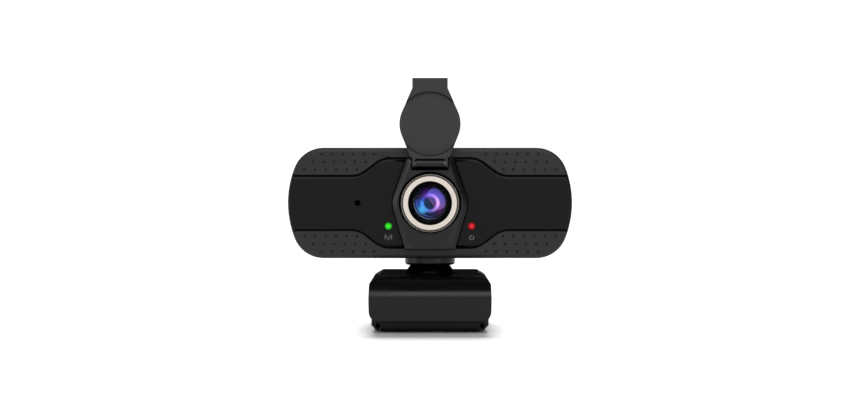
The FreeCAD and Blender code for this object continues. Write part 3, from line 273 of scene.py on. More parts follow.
# moulded plastics, rubbers and metals
# colour; rough = roughness range; grain = size in 1/m and bump depth in metres;
# edge = rounding radius; worn = how much paler a rubbed edge is; dust = how much settles;
# bow = curve of an upright face about bowLevel; crevice = reach of the painted shade in narrow
# gaps
finishes = {
    "shell_plastic": dict(colour=(0.0170, 0.0170, 0.0177), rough=(0.42, 0.54), grainScale=3200,
                          grainDepth=0.000016, edge=0.00022, worn=1.5, dust=0.035, specular=0.25,
                          crevice=0.00046),
    "panel_plastic": dict(colour=(0.0022, 0.0022, 0.0026), rough=(0.36, 0.47), grainScale=4200,
                          grainDepth=0.000008, edge=0.00018, worn=1.5, dust=0.03, specular=0.18,
                          crevice=0.0006),
    "bezel_plastic": dict(colour=(0.0034, 0.0036, 0.0040), rough=(0.34, 0.45), grainScale=4000,
                          grainDepth=0.000008, edge=0.00022, worn=1.7, dust=0.03, specular=0.36,
                          crevice=0.0018),
    "cover_plastic": dict(colour=(0.0265, 0.0265, 0.0275), rough=(0.44, 0.56), grainScale=3400,
                          grainDepth=0.000012, edge=0.00020, worn=1.5, dust=0.08, specular=0.25),
    "clip_plastic": dict(colour=(0.0034, 0.0034, 0.0038), rough=(0.15, 0.26), grainScale=1500,
                         grainDepth=0.000004, edge=0.00030, worn=1.8, dust=0.0, specular=0.26,
                         bow=6.0, bowLevel=0.0070),
    "neck_plastic": dict(colour=(0.0020, 0.0020, 0.0023), rough=(0.16, 0.26), grainScale=3600,
                         grainDepth=0.000006, edge=0.00022, worn=1.7, dust=0.02, specular=0.28),
    # painted shade: the swivel dome's finish is a darker, nearly unreflective copy of the neck
    # plastic
    "dome_shaded_plastic": dict(colour=(0.0005, 0.0005, 0.0006), rough=(0.20, 0.30), grainScale=3600,
                         grainDepth=0.000004, edge=0.00022, worn=1.7, dust=0.0, specular=0.03),
    "barrel_plastic": dict(colour=(0.0006, 0.0006, 0.0008), rough=(0.30, 0.42), grainScale=5200,
                           grainDepth=0.000008, edge=0.00008, worn=1.3, dust=0.0, specular=0.03),
    "chip_plastic": dict(colour=(0.018, 0.018, 0.019), rough=(0.42, 0.56), grainScale=6000,
                         grainDepth=0.000008, edge=0.00010, worn=1.5, dust=0.0, specular=0.5),
    "header_plastic": dict(colour=(0.66, 0.63, 0.54), rough=(0.38, 0.50), grainScale=3000,
                           grainDepth=0.000006, edge=0.00012, worn=1.1, dust=0.0, specular=0.5),
    "washer_plastic": dict(colour=(0.62, 0.62, 0.60), rough=(0.36, 0.48), grainScale=3000,
                           grainDepth=0.000006, edge=0.00012, worn=1.1, dust=0.0, specular=0.5),
    "rubber": dict(colour=(0.014, 0.014, 0.0145), rough=(0.74, 0.90), grainScale=2200,
                   grainDepth=0.000030, edge=0.00022, worn=1.4, dust=0.30, specular=0.3),
    "sensor_silicon": dict(colour=(0.030, 0.026, 0.048), rough=(0.12, 0.20), grainScale=2600,
                           grainDepth=0.000002, edge=0.00008, worn=1.2, dust=0.0, specular=0.6),
    "board_laminate": dict(colour=(0.012, 0.115, 0.050), rough=(0.22, 0.34), grainScale=1800,
                           grainDepth=0.000010, edge=0.00010, worn=1.4, dust=0.0, specular=0.5),
    "steel": dict(colour=(0.56, 0.56, 0.57), rough=(0.26, 0.40), grainScale=2400,
                  grainDepth=0.000006, edge=0.00012, worn=1.2, dust=0.0, metal=1.0),
    "dark_steel": dict(colour=(0.060, 0.060, 0.064), rough=(0.30, 0.46), grainScale=2400,
                       grainDepth=0.000006, edge=0.00012, worn=2.4, dust=0.0, metal=1.0),
    "mic_metal": dict(colour=(0.0005, 0.0005, 0.0005), rough=(0.80, 0.95), grainScale=5000,
                      grainDepth=0.000020, edge=0.00012, worn=1.1, dust=0.0, specular=0.00),
    "icon_print": dict(colour=(0.12, 0.12, 0.12), rough=(0.50, 0.62), grainScale=5000,
                       grainDepth=0.000006, edge=0.00004, worn=1.0, dust=0.0, specular=0.20),
    "brass": dict(colour=(0.72, 0.50, 0.22), rough=(0.24, 0.38), grainScale=2200,
                  grainDepth=0.000006, edge=0.00015, worn=1.15, dust=0.0, metal=1.0),
}


def mouldedMaterial(name, look):
    material, tree, shader = startMaterial(name)
    grain = useEffect(tree, "mouldGrain", {"Scale": look["grainScale"], "Mottle Scale": 70.0})
    wear = useEffect(tree, "edgeWear", {"Radius": look["edge"], "Noise Scale": 420.0})
    dust = useEffect(tree, "dust", {"Amount": look["dust"], "Speck Scale": 850.0})
    mottle = grain.outputs["Mottle"]
    base = mixColour(tree, mottle, opaque(look["colour"], 0.90), opaque(look["colour"], 1.10))
    rubbed = math2(tree, "MULTIPLY", wear.outputs["Mask"], 0.55)
    worn = mixColour(tree, rubbed, base, opaque(look["colour"], look["worn"]))
    dustAndPaintedShade = mixColour(tree, dust.outputs["Mask"], worn, (0.42, 0.40, 0.37, 1.0))
    shine = look.get("specular", 0.5)
    shader.inputs["Specular IOR Level"].default_value = shine
    # painted shade: narrow gaps and small pits are darkened in the base colour and lose their
    # specular reflection
    if "crevice" in look:
        crevice = useEffect(tree, "crevice", {"Reach": look["crevice"]}).outputs["Mask"]
        dustAndPaintedShade = mixColour(tree, crevice, dustAndPaintedShade, opaque(look["colour"], 0.10))
        tree.links.new(mapRange(tree, crevice, 0.0, 1.0, shine, 0.0),
                       shader.inputs["Specular IOR Level"])
    tree.links.new(dustAndPaintedShade, shader.inputs["Base Color"])
    rough = math2(tree, "MULTIPLY_ADD", dust.outputs["Mask"], 0.4)
    scaled = mapRange(tree, mottle, 0.3, 0.7, look["rough"][0], look["rough"][1])
    tree.links.new(scaled, rough.node.inputs[2])
    tree.links.new(rough, shader.inputs["Roughness"])
    shader.inputs["Metallic"].default_value = look.get("metal", 0.0)
    bump = addNode(tree, "ShaderNodeBump", {"Strength": 1.0, "Distance": look["grainDepth"]})
    tree.links.new(grain.outputs["Height"], bump.inputs["Height"])
    normal = wear.outputs["Normal"]
    if "bow" in look:
        bow = useEffect(tree, "bow", {"Curve": look["bow"], "Level": look["bowLevel"]})
        lean = addNode(tree, "ShaderNodeBump", {"Strength": 1.0, "Distance": 1.0})
        tree.links.new(bow.outputs["Height"], lean.inputs["Height"])
        tree.links.new(normal, lean.inputs["Normal"])
        normal = lean.outputs[0]
    tree.links.new(normal, bump.inputs["Normal"])
    tree.links.new(bump.outputs[0], shader.inputs["Normal"])
    return material


def ringMaterial(name):
    # champagne anodised aluminium with fine lathe marks
    material, tree, shader = startMaterial(name)
    turning = useEffect(tree, "turning", {"Centre": tuple(lensCentre), "Pitch": 0.00016})
    wear = useEffect(tree, "edgeWear", {"Radius": 0.00012, "Noise Scale": 500.0})
    mottle = useEffect(tree, "mouldGrain", {"Scale": 2600.0, "Mottle Scale": 160.0})
    # streaks of light and shade that run round a turned face
    streak = math2(tree, "SINE", math2(tree, "MULTIPLY", turning.outputs["Angle"], 4.0), None)
    shade = mapRange(tree, streak, -1.0, 1.0, 0.0, 0.35)
    base = mixColour(tree, shade, (0.61, 0.550, 0.490, 1.0), (0.54, 0.490, 0.435, 1.0))
    base = mixColour(tree, mottle.outputs["Mottle"], base, (0.66, 0.600, 0.535, 1.0))
    # painted shade: the ring's turned grooves and the gap at its bore are darkened in the base
    # colour
    crevice = useEffect(tree, "crevice", {"Reach": 0.0005}).outputs["Mask"]
    base = mixColour(tree, crevice, base, (0.09, 0.078, 0.066, 1.0))
    tree.links.new(base, shader.inputs["Base Color"])
    rough = mapRange(tree, turning.outputs["Height"], 0.0, 1.0, 0.44, 0.58)
    tree.links.new(rough, shader.inputs["Roughness"])
    shader.inputs["Metallic"].default_value = 0.12
    bump = addNode(tree, "ShaderNodeBump", {"Strength": 1.0, "Distance": 0.000006})
    tree.links.new(turning.outputs["Height"], bump.inputs["Height"])
    tree.links.new(wear.outputs["Normal"], bump.inputs["Normal"])
    tree.links.new(bump.outputs[0], shader.inputs["Normal"])
    return material


def clearGlassMaterial(name, tint, rough, ior=1.52):
    material, tree, shader = startMaterial(name)
    grain = useEffect(tree, "mouldGrain", {"Scale": 900.0, "Mottle Scale": 240.0})
    base = mixColour(tree, grain.outputs["Mottle"], opaque(tint, 0.96), opaque(tint, 1.0))
    tree.links.new(base, shader.inputs["Base Color"])
    shader.inputs["Transmission Weight"].default_value = 1.0
    shader.inputs["IOR"].default_value = ior
    smear = mapRange(tree, grain.outputs["Mottle"], 0.45, 0.75, rough, rough + 0.03)
    tree.links.new(smear, shader.inputs["Roughness"])
    return material


def lightMaterial(name, colour, core, node):
    # tinted light pipe: brightest in the middle of its face
    material, tree, shader = startMaterial(name)
    place = centreOf(node)
    where = addNode(tree, "ShaderNodeTexCoord").outputs["Object"]
    mapping = addNode(tree, "ShaderNodeMapping", {"Location": (-place.x, 0.0, -place.z)})
    mapping.inputs["Scale"].default_value = (1.0, 0.0, 1.0)
    tree.links.new(where, mapping.inputs["Vector"])
    far = addNode(tree, "ShaderNodeVectorMath", operation="LENGTH")
    tree.links.new(mapping.outputs[0], far.inputs[0])
    glow = mapRange(tree, far.outputs["Value"], 0.0002, 0.0013, 1.0, 0.0, smooth=True)
    grain = useEffect(tree, "mouldGrain", {"Scale": 2400.0, "Mottle Scale": 900.0})
    speckled = math2(tree, "MULTIPLY", glow, mapRange(tree, grain.outputs["Mottle"], 0.3, 0.7,
                                                     0.85, 1.0))
    tint = mixColour(tree, speckled, opaque(colour, 0.55), opaque(core))
    tree.links.new(tint, shader.inputs["Base Color"])
    tree.links.new(tint, shader.inputs["Emission Color"])
    shader.inputs["Emission Strength"].default_value = 0.85
    shader.inputs["Roughness"].default_value = 0.30
    shader.inputs["Specular IOR Level"].default_value = 0.08
    return material


# painted reflections of a coated lens, which also glow: soft spots, a bright ring about a dark
# pupil and thin rim arcs;
# places and sizes are shares of the coated face's radius
lensReflections = {
    "radius": 5.75 * mm,
    "ground": (0.0015, 0.0005, 0.014, 1.0),
    "spots": [
        dict(at=(-0.46, -0.26), radius=0.38, soft=0.30, share=0.95, colour=(0.008, 0.09, 0.33)),
        dict(at=(-0.46, -0.38), radius=0.20, soft=0.16, share=0.90, colour=(0.055, 0.36, 0.60)),
        dict(at=(-0.70, 0.04), radius=0.16, soft=0.20, share=0.75, colour=(0.006, 0.03, 0.34)),
        dict(at=(-0.28, 0.50), radius=0.26, soft=0.28, share=0.85, colour=(0.05, 0.004, 0.17)),
        dict(at=(0.40, 0.30), radius=0.50, soft=0.20, share=0.80, colour=(0.05, 0.02, 0.24)),
        dict(at=(0.52, -0.34), radius=0.22, soft=0.22, share=0.70, colour=(0.09, 0.005, 0.13)),
        dict(at=(0.05, -0.74), radius=0.26, soft=0.26, share=0.80, colour=(0.001, 0.001, 0.035)),
        dict(at=(-0.82, 0.62), radius=0.30, soft=0.28, share=0.95, colour=(0.001, 0.001, 0.006)),
    ],
    "ring": dict(radius=0.47, width=0.15),
    "ringColours": [(0.00, (0.06, 0.26, 0.72)), (0.13, (0.05, 0.28, 0.60)),
                    (0.25, (0.07, 0.08, 0.38)), (0.38, (0.34, 0.17, 0.58)),
                    (0.50, (0.82, 0.40, 0.85)), (0.63, (0.46, 0.24, 0.80)),
                    (0.75, (0.24, 0.15, 0.74)), (0.87, (0.05, 0.007, 0.26)),
                    (0.95, (0.02, 0.08, 0.46)), (1.00, (0.06, 0.26, 0.72))],
    "pupil": dict(radius=0.36, soft=0.05, dark=(0.001, 0.016, 0.055), glow=(0.024, 0.010, 0.040),
                  disc=0.56),
    "disc": dict(at=(0.41, 0.26), radius=0.67, soft=0.025, share=0.62,
                 upper=(0.13, 0.105, 0.54), lower=(0.26, 0.11, 0.42)),
    "arcs": [dict(radius=0.80, width=0.020, colour=(0.06, 0.15, 0.40)),
             dict(radius=0.95, width=0.018, colour=(0.20, 0.30, 0.46))],
    "glow": 0.62,
}


def lensReflectionMaterial(name):
    material, tree, shader = startMaterial(name)
    size = lensReflections["radius"]
    where = addNode(tree, "ShaderNodeTexCoord").outputs["Object"]
    mapping = addNode(tree, "ShaderNodeMapping",
                      {"Location": (0.0, 0.0, -lensAxisZ / size),
                       "Scale": (1 / size, 0.0, 1 / size)})
    tree.links.new(where, mapping.inputs["Vector"])
    flat = mapping.outputs[0]

    def distanceFrom(at):
        node = addNode(tree, "ShaderNodeVectorMath", operation="DISTANCE")
        tree.links.new(flat, node.inputs[0])
        node.inputs[1].default_value = (at[0], 0.0, at[1])
        return node.outputs["Value"]

    colour = lensReflections["ground"]
    for spot in lensReflections["spots"]:
        far = distanceFrom(spot["at"])
        mask = mapRange(tree, far, spot["radius"] + spot["soft"], spot["radius"] - spot["soft"],
                        0.0, spot["share"], smooth=True)
        colour = mixColour(tree, mask, colour, opaque(spot["colour"]))
    radius = distanceFrom((0, 0))
    split = addNode(tree, "ShaderNodeSeparateXYZ")
    tree.links.new(flat, split.inputs[0])
    angle = math2(tree, "ARCTAN2", split.outputs["Z"], split.outputs["X"])
    around = mapRange(tree, angle, -math.pi, math.pi, 0.0, 1.0)
    ramp = addNode(tree, "ShaderNodeValToRGB")
    stops = ramp.color_ramp.elements
    while len(stops) < len(lensReflections["ringColours"]):
        stops.new(0.5)
    for stop, (place, shade) in zip(stops, lensReflections["ringColours"]):
        stop.position = place
        stop.color = opaque(shade)
    tree.links.new(around, ramp.inputs[0])

    def band(size_, width, share=1.0):
        offset = math2(tree, "ABSOLUTE", math2(tree, "SUBTRACT", radius, size_), None)
        return mapRange(tree, offset, width, width * 0.25, 0.0, share, smooth=True)

    # one large clear-edged painted reflection lies under the ring
    disc = lensReflections["disc"]
    inDisc = mapRange(tree, distanceFrom(disc["at"]), disc["radius"] + disc["soft"],
                      disc["radius"] - disc["soft"], 0.0, disc["share"], smooth=True)
    height = mapRange(tree, split.outputs["Z"], -0.30, 0.40, 0.0, 1.0, smooth=True)
    discColour = mixColour(tree, height, opaque(disc["lower"]), opaque(disc["upper"]))
    colour = mixColour(tree, inDisc, colour, discColour)
    edge = mapRange(tree, radius, 0.84, 1.0, 0.0, 1.0, smooth=True)
    colour = mixColour(tree, edge, colour, lensReflections["ground"])
    ring = lensReflections["ring"]
    colour = mixColour(tree, band(ring["radius"], ring["width"]), colour, ramp.outputs[0])
    lowerLeft = mapRange(tree, angle, -0.9, -1.9, 0.0, 1.0, smooth=True)
    for arc in lensReflections["arcs"]:
        shown = math2(tree, "MULTIPLY", band(arc["radius"], arc["width"]), lowerLeft)
        colour = mixColour(tree, shown, colour, opaque(arc["colour"]))
    # the pupil: a painted dark half and a hazy half lit by the painted disc reflection, that meet
    # along a slanted black line
    pupil = lensReflections["pupil"]
    inside = mapRange(tree, radius, pupil["radius"] + pupil["soft"],
                      pupil["radius"] - pupil["soft"], 0.0, 1.0, smooth=True)
    slope = math2(tree, "ADD", math2(tree, "MULTIPLY", split.outputs["X"], 1.45),
                  split.outputs["Z"])
    lit = mapRange(tree, slope, 0.05, 0.16, 0.0, 1.0, smooth=True)
    eye = mixColour(tree, lit, opaque(pupil["dark"]), opaque(pupil["glow"]))
    haze = math2(tree, "MULTIPLY", math2(tree, "MULTIPLY", inDisc, pupil["disc"]), lit)
    eye = mixColour(tree, haze, eye, discColour)
    fromLine = math2(tree, "ABSOLUTE", math2(tree, "SUBTRACT", slope, 0.05), None)
    line = mapRange(tree, fromLine, 0.09, 0.02, 0.0, 0.85, smooth=True)
    eye = mixColour(tree, line, eye, (0.0, 0.0, 0.002, 1.0))
    colour = mixColour(tree, inside, colour, eye)
    # the painted reflections feed both the base colour and the emission, so the element glows with
    # painted light
    tree.links.new(colour, shader.inputs["Base Color"])
    tree.links.new(colour, shader.inputs["Emission Color"])
    shader.inputs["Emission Strength"].default_value = lensReflections["glow"]
    shader.inputs["Roughness"].default_value = 0.12
    shader.inputs["Specular IOR Level"].default_value = 0.05
    return material


print("shared effects ready")
materials = {name: mouldedMaterial(name, look) for name, look in finishes.items()}
materials["ring_metal"] = ringMaterial("ring_metal")
materials["lens_glass"] = clearGlassMaterial("lens_glass", (0.93, 0.95, 1.0), 0.0, 1.20)
materials["filter_glass"] = clearGlassMaterial("filter_glass", (0.85, 0.55, 0.72), 0.02)
materials["green_light"] = lightMaterial("green_light", (0.008, 0.30, 0.010), (0.024, 0.52, 0.017),
                                         "green_light_pipe")
materials["red_light"] = lightMaterial("red_light", (0.24, 0.004, 0.008), (0.44, 0.011, 0.021),
                                       "red_light_pipe")
materials["lens_painted_reflections"] = lensReflectionMaterial("lens_painted_reflections")

# nodes whose finish differs from their slot's usual one
# the swivel dome takes the shaded copy of the neck plastic, which is painted shade
ownFinish = {"swivel_dome": "dome_shaded_plastic"}

for part in frame["record"]["subparts"]:
    node = frame["nodes"][part["node"]]
    node.data.materials.clear()
    finish = ownFinish.get(part["node"], part["material_slot"])
    node.data.materials.append(materials[finish])
print("materials on every CAD node")


# new pieces
def finishPiece(name, mesh, body, material, replaced=(), smoothAngle=30):
    piece = bpy.data.objects.new(name, mesh)
    bpy.context.scene.collection.objects.link(piece)
    mesh.materials.clear()
    mesh.materials.append(material)
    mesh.shade_smooth()
    mesh.set_sharp_from_angle(angle=math.radians(smoothAngle))
    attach(piece, body)
    if replaced:
        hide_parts(*replaced)
    return piece


def meshFrom(bm, name):
    bmesh.ops.recalc_face_normals(bm, faces=bm.faces)
    mesh = bpy.data.meshes.new(name)
    bm.to_mesh(mesh)
    bm.free()
    return mesh


def spinProfile(profile, steps):
    # turns (radius, y) points about the lens axis into a closed shape
    centre = Vector((0, 0, lensAxisZ))
    bm = bmesh.new()
    verts = [bm.verts.new((centre.x + radius, y, centre.z)) for radius, y in profile]
    edges = [bm.edges.new((verts[i], verts[(i + 1) % len(verts)])) for i in range(len(verts))]
    if profile[0][0] == 0 and profile[-1][0] == 0:
        bm.edges.remove(edges.pop())
    bmesh.ops.spin(bm, geom=verts + edges, cent=centre, axis=Vector((0, 1, 0)),
                   angle=2 * math.pi, steps=steps, use_merge=True, use_duplicate=False)
    bmesh.ops.remove_doubles(bm, verts=bm.verts, dist=1e-7)
    return bm


def smoothCopy(node, slotName):
    # the node's own shape with its loose triangles welded, so that round faces shade smoothly
    source = frame["nodes"][node]
    bm = bmesh.new()
    bm.from_mesh(source.data)
    bmesh.ops.remove_doubles(bm, verts=bm.verts, dist=1e-6)
    bmesh.ops.dissolve_limit(bm, angle_limit=math.radians(0.3), verts=bm.verts, edges=bm.edges)
    mesh = bpy.data.meshes.new(node + "_skin")
    bm.to_mesh(mesh)
    bm.free()
    piece = finishPiece(node + "_skin", mesh, source["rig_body"],
                        materials[ownFinish.get(node, slotName)], (node,), 32)
    weighted = piece.modifiers.new("weighted", "WEIGHTED_NORMAL")
    weighted.keep_sharp = True
    weighted.weight = 100


roundedNodes = ["front_shell", "rear_cover", "left_panel", "right_panel", "clip_top_shell",
                "clip_leg", "foot_flap", "neck_collar", "swivel_dome", "lens_bezel",
                "cable_grommet", "privacy_cover", "lip_pad", "clip_liner"]
slotOf = {part["node"]: part["material_slot"] for part in frame["record"]["subparts"]}
for nodeName in roundedNodes:
    smoothCopy(nodeName, slotOf[nodeName])
print("welded skins:", len(roundedNodes))


# lens ring, glass and coated element
ringSpec = {"steps": 192, "bore": 7.30, "mouth": 7.64, "grooves": 2, "groove": 0.30,
            "grooveDepth": 0.45, "faceEdge": 9.34, "knurlDepth": 0.09}


def makeLensRing():
    # chamfered bore, flat face, fine turned grooves, then a knurled rim
    low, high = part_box("lens_ring")
    outer = (high.x - low.x) / 2
    bore, mouth = ringSpec["bore"] * mm, ringSpec["mouth"] * mm
    front, back = low.y, high.y
    profile = [(bore, back), (bore, front + 0.60 * mm), (mouth, front + 0.10 * mm),
               (mouth + 0.02 * mm, front)]
    radius = ringSpec["faceEdge"] * mm
    for n in range(ringSpec["grooves"]):
        step = ringSpec["groove"] * mm
        profile += [(radius, front), (radius + step / 2, front + ringSpec["grooveDepth"] * mm)]
        radius += step
    profile += [(radius, front), (outer - 0.12 * mm, front + 0.20 * mm)]
    profile += [(outer, front + 0.5 * mm), (outer, back - 0.5 * mm), (outer - 0.12 * mm, back)]
    bm = spinProfile(profile, ringSpec["steps"])
    centre = Vector((0, 0, lensAxisZ))
    for vert in bm.verts:
        flat = Vector((vert.co.x, 0, vert.co.z)) - centre
        turn = round(math.atan2(flat.z, flat.x) / (2 * math.pi) * ringSpec["steps"])
        if turn % 2 and flat.length > outer - 0.02 * mm:
            vert.co -= flat.normalized() * ringSpec["knurlDepth"] * mm
    mesh = meshFrom(bm, "lens_ring_turned")
    finishPiece("lens_ring_turned", mesh, "focus_body",
                       materials["ring_metal"], ("lens_ring",), 25)


barrelSpec = {"bore": 6.41, "outer": 7.26, "flareBack": 0.54, "flare": 7.58, "flareFront": 0.07,
              "stepOut": 6.82, "stepBack": 0.78}


def makeBarrel():
    # black tube with two fine steps inside its mouth and a lip that flares over the ring's bore
    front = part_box("lens_ring")[0].y
    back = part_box("lens_barrel")[1].y
    spec = {key: value * mm for key, value in barrelSpec.items()}
    step = front + spec["stepBack"]
    profile = [(spec["bore"], back), (spec["bore"], step + 0.42 * mm),
               (spec["bore"] + 0.04 * mm, step + 0.24 * mm),
               (spec["bore"] + 0.20 * mm, step + 0.17 * mm),
               (spec["bore"] + 0.22 * mm, step + 0.05 * mm),
               (spec["stepOut"], step - 0.03 * mm),
               (spec["stepOut"] + 0.02 * mm, front + 0.60 * mm),
               (spec["outer"] - 0.10 * mm, front + 0.52 * mm),
               (spec["flare"] - 0.05 * mm, front + spec["flareFront"] - 0.02 * mm),
               (spec["flare"], front + spec["flareFront"] + 0.03 * mm),
               (spec["outer"], front + spec["flareBack"]), (spec["outer"], back)]
    mesh = meshFrom(spinProfile(profile, 128), "lens_barrel_turned")
    finishPiece("lens_barrel_turned", mesh, "focus_body",
                       materials["barrel_plastic"], ("lens_barrel",), 30)


# radius, thickness and depth behind the panel's face
portShadeSpec = {"radius": 1.02, "thick": 0.20, "set": 0.60}


def makePortShade():
    # black disc behind the microphone's port: painted shade that makes the port read as a dark
    # hole
    port = centreOf("mic_capsule")
    bm = bmesh.new()
    seat = Vector((port.x, panelFrontY + portShadeSpec["set"] * mm, port.z))
    bmesh.ops.create_cone(bm, cap_ends=True, segments=48, radius1=portShadeSpec["radius"] * mm,
                          radius2=portShadeSpec["radius"] * mm, depth=portShadeSpec["thick"] * mm,
                          matrix=Matrix.Translation(seat) @ Matrix.Rotation(math.pi / 2, 4, "X"))
    mesh = meshFrom(bm, "mic_gauze")
    finishPiece("mic_gauze", mesh, "head_body", materials["mic_metal"])


def makeCoatedElement():
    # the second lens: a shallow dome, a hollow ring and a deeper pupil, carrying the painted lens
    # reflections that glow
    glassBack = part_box("front_glass")[1].y
    shape = [(0, 1.15), (1.55, 1.10), (1.95, 0.85), (2.25, 0.42), (2.9, 0.26), (3.5, 0.36),
             (4.4, 0.50), (5.1, 0.72), (5.6, 1.0)]
    profile = [(radius * mm, glassBack + depth * mm) for radius, depth in shape]
    profile += [(5.6 * mm, glassBack + 1.25 * mm), (0, glassBack + 1.35 * mm)]
    bm = spinProfile(profile, 96)
    mesh = meshFrom(bm, "coated_element")
    finishPiece("coated_element", mesh, "focus_body",
                       materials["lens_painted_reflections"], (), 60)


def makeFrontElement():
    # a fine-meshed front lens with a ground edge
    low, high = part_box("front_glass")
    rim = (high.x - low.x) / 2
    bulge = 0.9 * mm
    sphere = (rim ** 2 + bulge ** 2) / (2 * bulge)
    profile = []
    for n in range(17):
        radius = rim * n / 16
        profile.append((radius, low.y + sphere - math.sqrt(sphere ** 2 - radius ** 2)))
    profile += [(rim, high.y - 0.1 * mm), (rim - 0.1 * mm, high.y), (0, high.y)]
    bm = spinProfile(profile, 96)
    mesh = meshFrom(bm, "front_element")
    finishPiece("front_element", mesh, "focus_body",
                       materials["lens_glass"], ("front_glass",), 40)


makeLensRing()
makeBarrel()
makePortShade()
makeCoatedElement()
makeFrontElement()
print("lens pieces made")


# printed icons under the lights
icons = {"drop": 4.0, "line": 0.26, "proud": 0.02, "thick": 0.05,
         "antennaArcs": [(0.72, 38), (1.22, 44)], "antennaHeight": 1.5, "powerRadius": 0.78}


def addArc(bm, centre, radius, middleDeg, sweepDeg, steps=20):
    # a short edge spun about the icon's centre into a curved stroke
    half = icons["line"] * mm / 2
    start = math.radians(middleDeg - sweepDeg / 2)
    way = Vector((math.cos(start), 0, math.sin(start)))
    verts = [bm.verts.new(centre + way * (radius * mm + side * half)) for side in (-1, 1)]
    edge = bm.edges.new(verts)
    bmesh.ops.spin(bm, geom=verts + [edge], cent=centre, axis=Vector((0, -1, 0)),
                   angle=math.radians(sweepDeg), steps=steps, use_merge=False,
                   use_duplicate=False)


def addBar(bm, centre, width, height):
    bmesh.ops.create_grid(bm, x_segments=1, y_segments=1, size=0.5 * mm,
                          matrix=Matrix.Translation(centre)
                          @ Matrix.Rotation(math.pi / 2, 4, "X")
                          @ Matrix.Diagonal((width, height, 1, 1)))


def finishIcon(bm, name):
    faces = list(bm.faces)
    grown = bmesh.ops.extrude_face_region(bm, geom=faces)["geom"]
    moved = [item for item in grown if isinstance(item, bmesh.types.BMVert)]
    bmesh.ops.translate(bm, verts=moved, vec=Vector((0, icons["thick"] * mm, 0)))
    bmesh.ops.remove_doubles(bm, verts=bm.verts, dist=1e-7)
    mesh = meshFrom(bm, name)
    finishPiece(name, mesh, "head_body", materials["icon_print"])


def iconCentre(node):
    place = centreOf(node)
    return Vector((place.x, panelFrontY - icons["proud"] * mm, place.z - icons["drop"] * mm))


def makeAntennaIcon():
    centre = iconCentre("green_light_pipe")
    bm = bmesh.new()
    top = centre + Vector((0, 0, 0.25 * mm))
    addBar(bm, centre - Vector((0, 0, 0.15 * mm)), 0.24, 0.9)
    addArc(bm, top, 0.10, 90, 360, 16)
    addBar(bm, centre - Vector((0, 0, 0.75 * mm)), 0.72, 0.24)
    for radius, half in icons["antennaArcs"]:
        for middle in (0, 180):
            addArc(bm, top, radius, middle, 2 * half)
    finishIcon(bm, "antenna_icon")


def makePowerIcon():
    centre = iconCentre("red_light_pipe")
    bm = bmesh.new()
    addArc(bm, centre, icons["powerRadius"], 270, 286, 40)
    addBar(bm, centre + Vector((0, 0, 0.55 * mm)), 0.26, 0.85)
    finishIcon(bm, "power_icon")


makeAntennaIcon()
makePowerIcon()
print("icons printed")


# camera, floor and light
view = {"distance": 0.513, "elevation": 0.7, "aimY": -0.011, "aimZ": 0.0438, "width": 0.3018}


def addCamera():
    data = bpy.data.cameras.new("camera")
    camera = bpy.data.objects.new("camera", data)
    bpy.context.scene.collection.objects.link(camera)
    lean = math.radians(view["elevation"])
    aim = Vector((0, view["aimY"], view["aimZ"]))
    camera.location = aim + Vector((0, -math.cos(lean), math.sin(lean))) * view["distance"]
    camera.rotation_euler = (aim - camera.location).to_track_quat("-Z", "Y").to_euler()
    data.sensor_width = 36.0
    data.lens = data.sensor_width * view["distance"] / view["width"]
    data.clip_start = 0.01
    data.clip_end = 20.0
    bpy.context.scene.camera = camera


light = {"around": 1.18, "mirrored": 0.012, "sun": 9.5, "sunAngle": 30.0, "sunLean": -50.0,
         "floorMirrored": 0.317, "floorBounced": 0.42,
         "floorSeen": 0.42}


def addFloor():
    bm = bmesh.new()
    bmesh.ops.create_grid(bm, x_segments=2, y_segments=2, size=3.0)
    mesh = meshFrom(bm, "floor")
    floor = bpy.data.objects.new("floor", mesh)
    bpy.context.scene.collection.objects.link(floor)
    material, tree, shader = startMaterial("floor_white")
    path = addNode(tree, "ShaderNodeLightPath")
    grey = {tone: opaque((light[tone],) * 3) for tone in ("floorBounced", "floorMirrored",
                                                         "floorSeen")}
    colour = mixColour(tree, path.outputs["Is Glossy Ray"], grey["floorBounced"],
                       grey["floorMirrored"])
    colour = mixColour(tree, path.outputs["Is Camera Ray"], colour, grey["floorSeen"])
    tree.links.new(colour, shader.inputs["Base Color"])
    shader.inputs["Roughness"].default_value = 0.7
    shader.inputs["Specular IOR Level"].default_value = 0.1
    mesh.materials.append(material)


# size is the width; without leaves pieces out, only lights nothing else
softboxes = [
    dict(name="front", place=(0.0, -0.52, 0.62), aim=(0, 0, 0.03), size=0.90, height=0.42,
         power=4.5, without=("clip_top_shell_skin",)),
    dict(name="low", place=(0.0, -0.80, 0.13), aim=(0, 0, 0.05), size=1.40, height=0.26,
         power=0.85),
    dict(name="band", place=(0.0, -0.74, 0.36), aim=(0, 0, 0.02), size=1.20, height=0.30,
         power=3.4, only=("clip_top_shell_skin",)),
    dict(name="left", place=(-0.73, -0.16, 0.16), aim=(0, 0, 0.045), size=0.26, height=0.5,
         power=1.5),
    dict(name="right", place=(0.50, -0.60, 0.16), aim=(0, 0, 0.045), size=0.20, height=0.5,
         power=0.9),
    dict(name="back", place=(0.0, 0.62, 0.62), aim=(0, 0, 0.04), size=0.90, height=0.40,
         power=3.0, without=("clip_top_shell_skin",)),
]


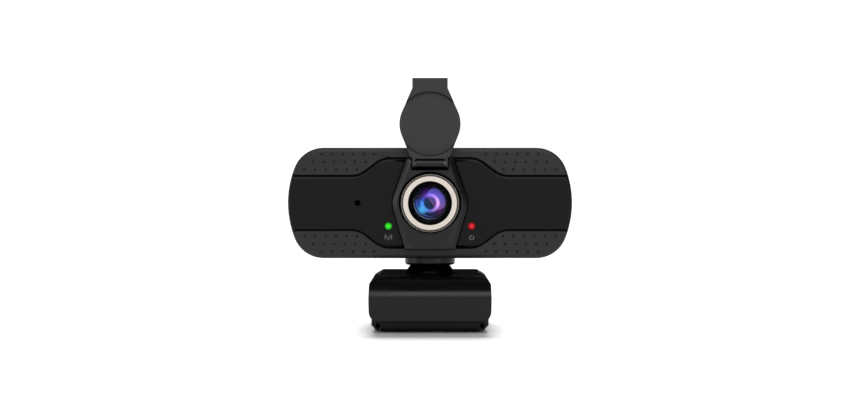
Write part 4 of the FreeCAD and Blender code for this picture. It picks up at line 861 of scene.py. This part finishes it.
def addSoftbox(name, place, aim, size, height, power, without=(), only=()):
    # seen in gloss only, so that it shapes highlights and leaves the even light alone
    data = bpy.data.lights.new(name, "AREA")
    data.shape = "RECTANGLE"
    data.size = size
    data.size_y = height
    data.energy = power
    lamp = bpy.data.objects.new(name, data)
    lamp.location = place
    lamp.rotation_euler = (Vector(aim) - Vector(place)).to_track_quat("-Z", "Y").to_euler()
    lamp.visible_diffuse = False
    bpy.context.scene.collection.objects.link(lamp)
    if without or only:
        linked = bpy.data.collections.new(name + "_linked")
        for piece in without or only:
            linked.objects.link(bpy.data.objects[piece])
        for item in linked.collection_objects:
            item.light_linking.link_state = "EXCLUDE" if without else "INCLUDE"
        lamp.light_linking.receiver_collection = linked


def addSun():
    # from behind, on the floor alone and shaded by the clip alone: the foot's soft shadow
    data = bpy.data.lights.new("sun", "SUN")
    data.energy = light["sun"]
    data.angle = math.radians(light["sunAngle"])
    sun = bpy.data.objects.new("sun", data)
    sun.rotation_euler = (math.radians(light["sunLean"]), 0, 0)
    sun.visible_glossy = False
    floorOnly = bpy.data.collections.new("floor_only")
    floorOnly.objects.link(bpy.data.objects["floor"])
    sun.light_linking.receiver_collection = floorOnly
    foot = bpy.data.collections.new("foot_shadow")
    for piece in bpy.data.objects:
        if piece.get("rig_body") in ("clip_leg_body", "clip_top_body", "flap_body"):
            foot.objects.link(piece)
    sun.light_linking.blocker_collection = foot
    bpy.context.scene.collection.objects.link(sun)


def addWorld():
    world = bpy.data.worlds.new("studio")
    bpy.context.scene.world = world
    world.use_nodes = True
    tree = world.node_tree
    background = tree.nodes["Background"]
    background.inputs["Color"].default_value = (1.0, 1.0, 1.0, 1.0)
    path = tree.nodes.new("ShaderNodeLightPath")
    glossy = mapRange(tree, path.outputs["Is Glossy Ray"], 0.0, 1.0, light["around"],
                      light["mirrored"])
    strength = math2(tree, "MAXIMUM", glossy, path.outputs["Is Camera Ray"])
    tree.links.new(strength, background.inputs["Strength"])


addCamera()
addFloor()
addWorld()
addSun()
for box in softboxes:
    addSoftbox(**box)
bpy.context.scene.view_settings.view_transform = "Standard"
print("camera, floor and lights placed")
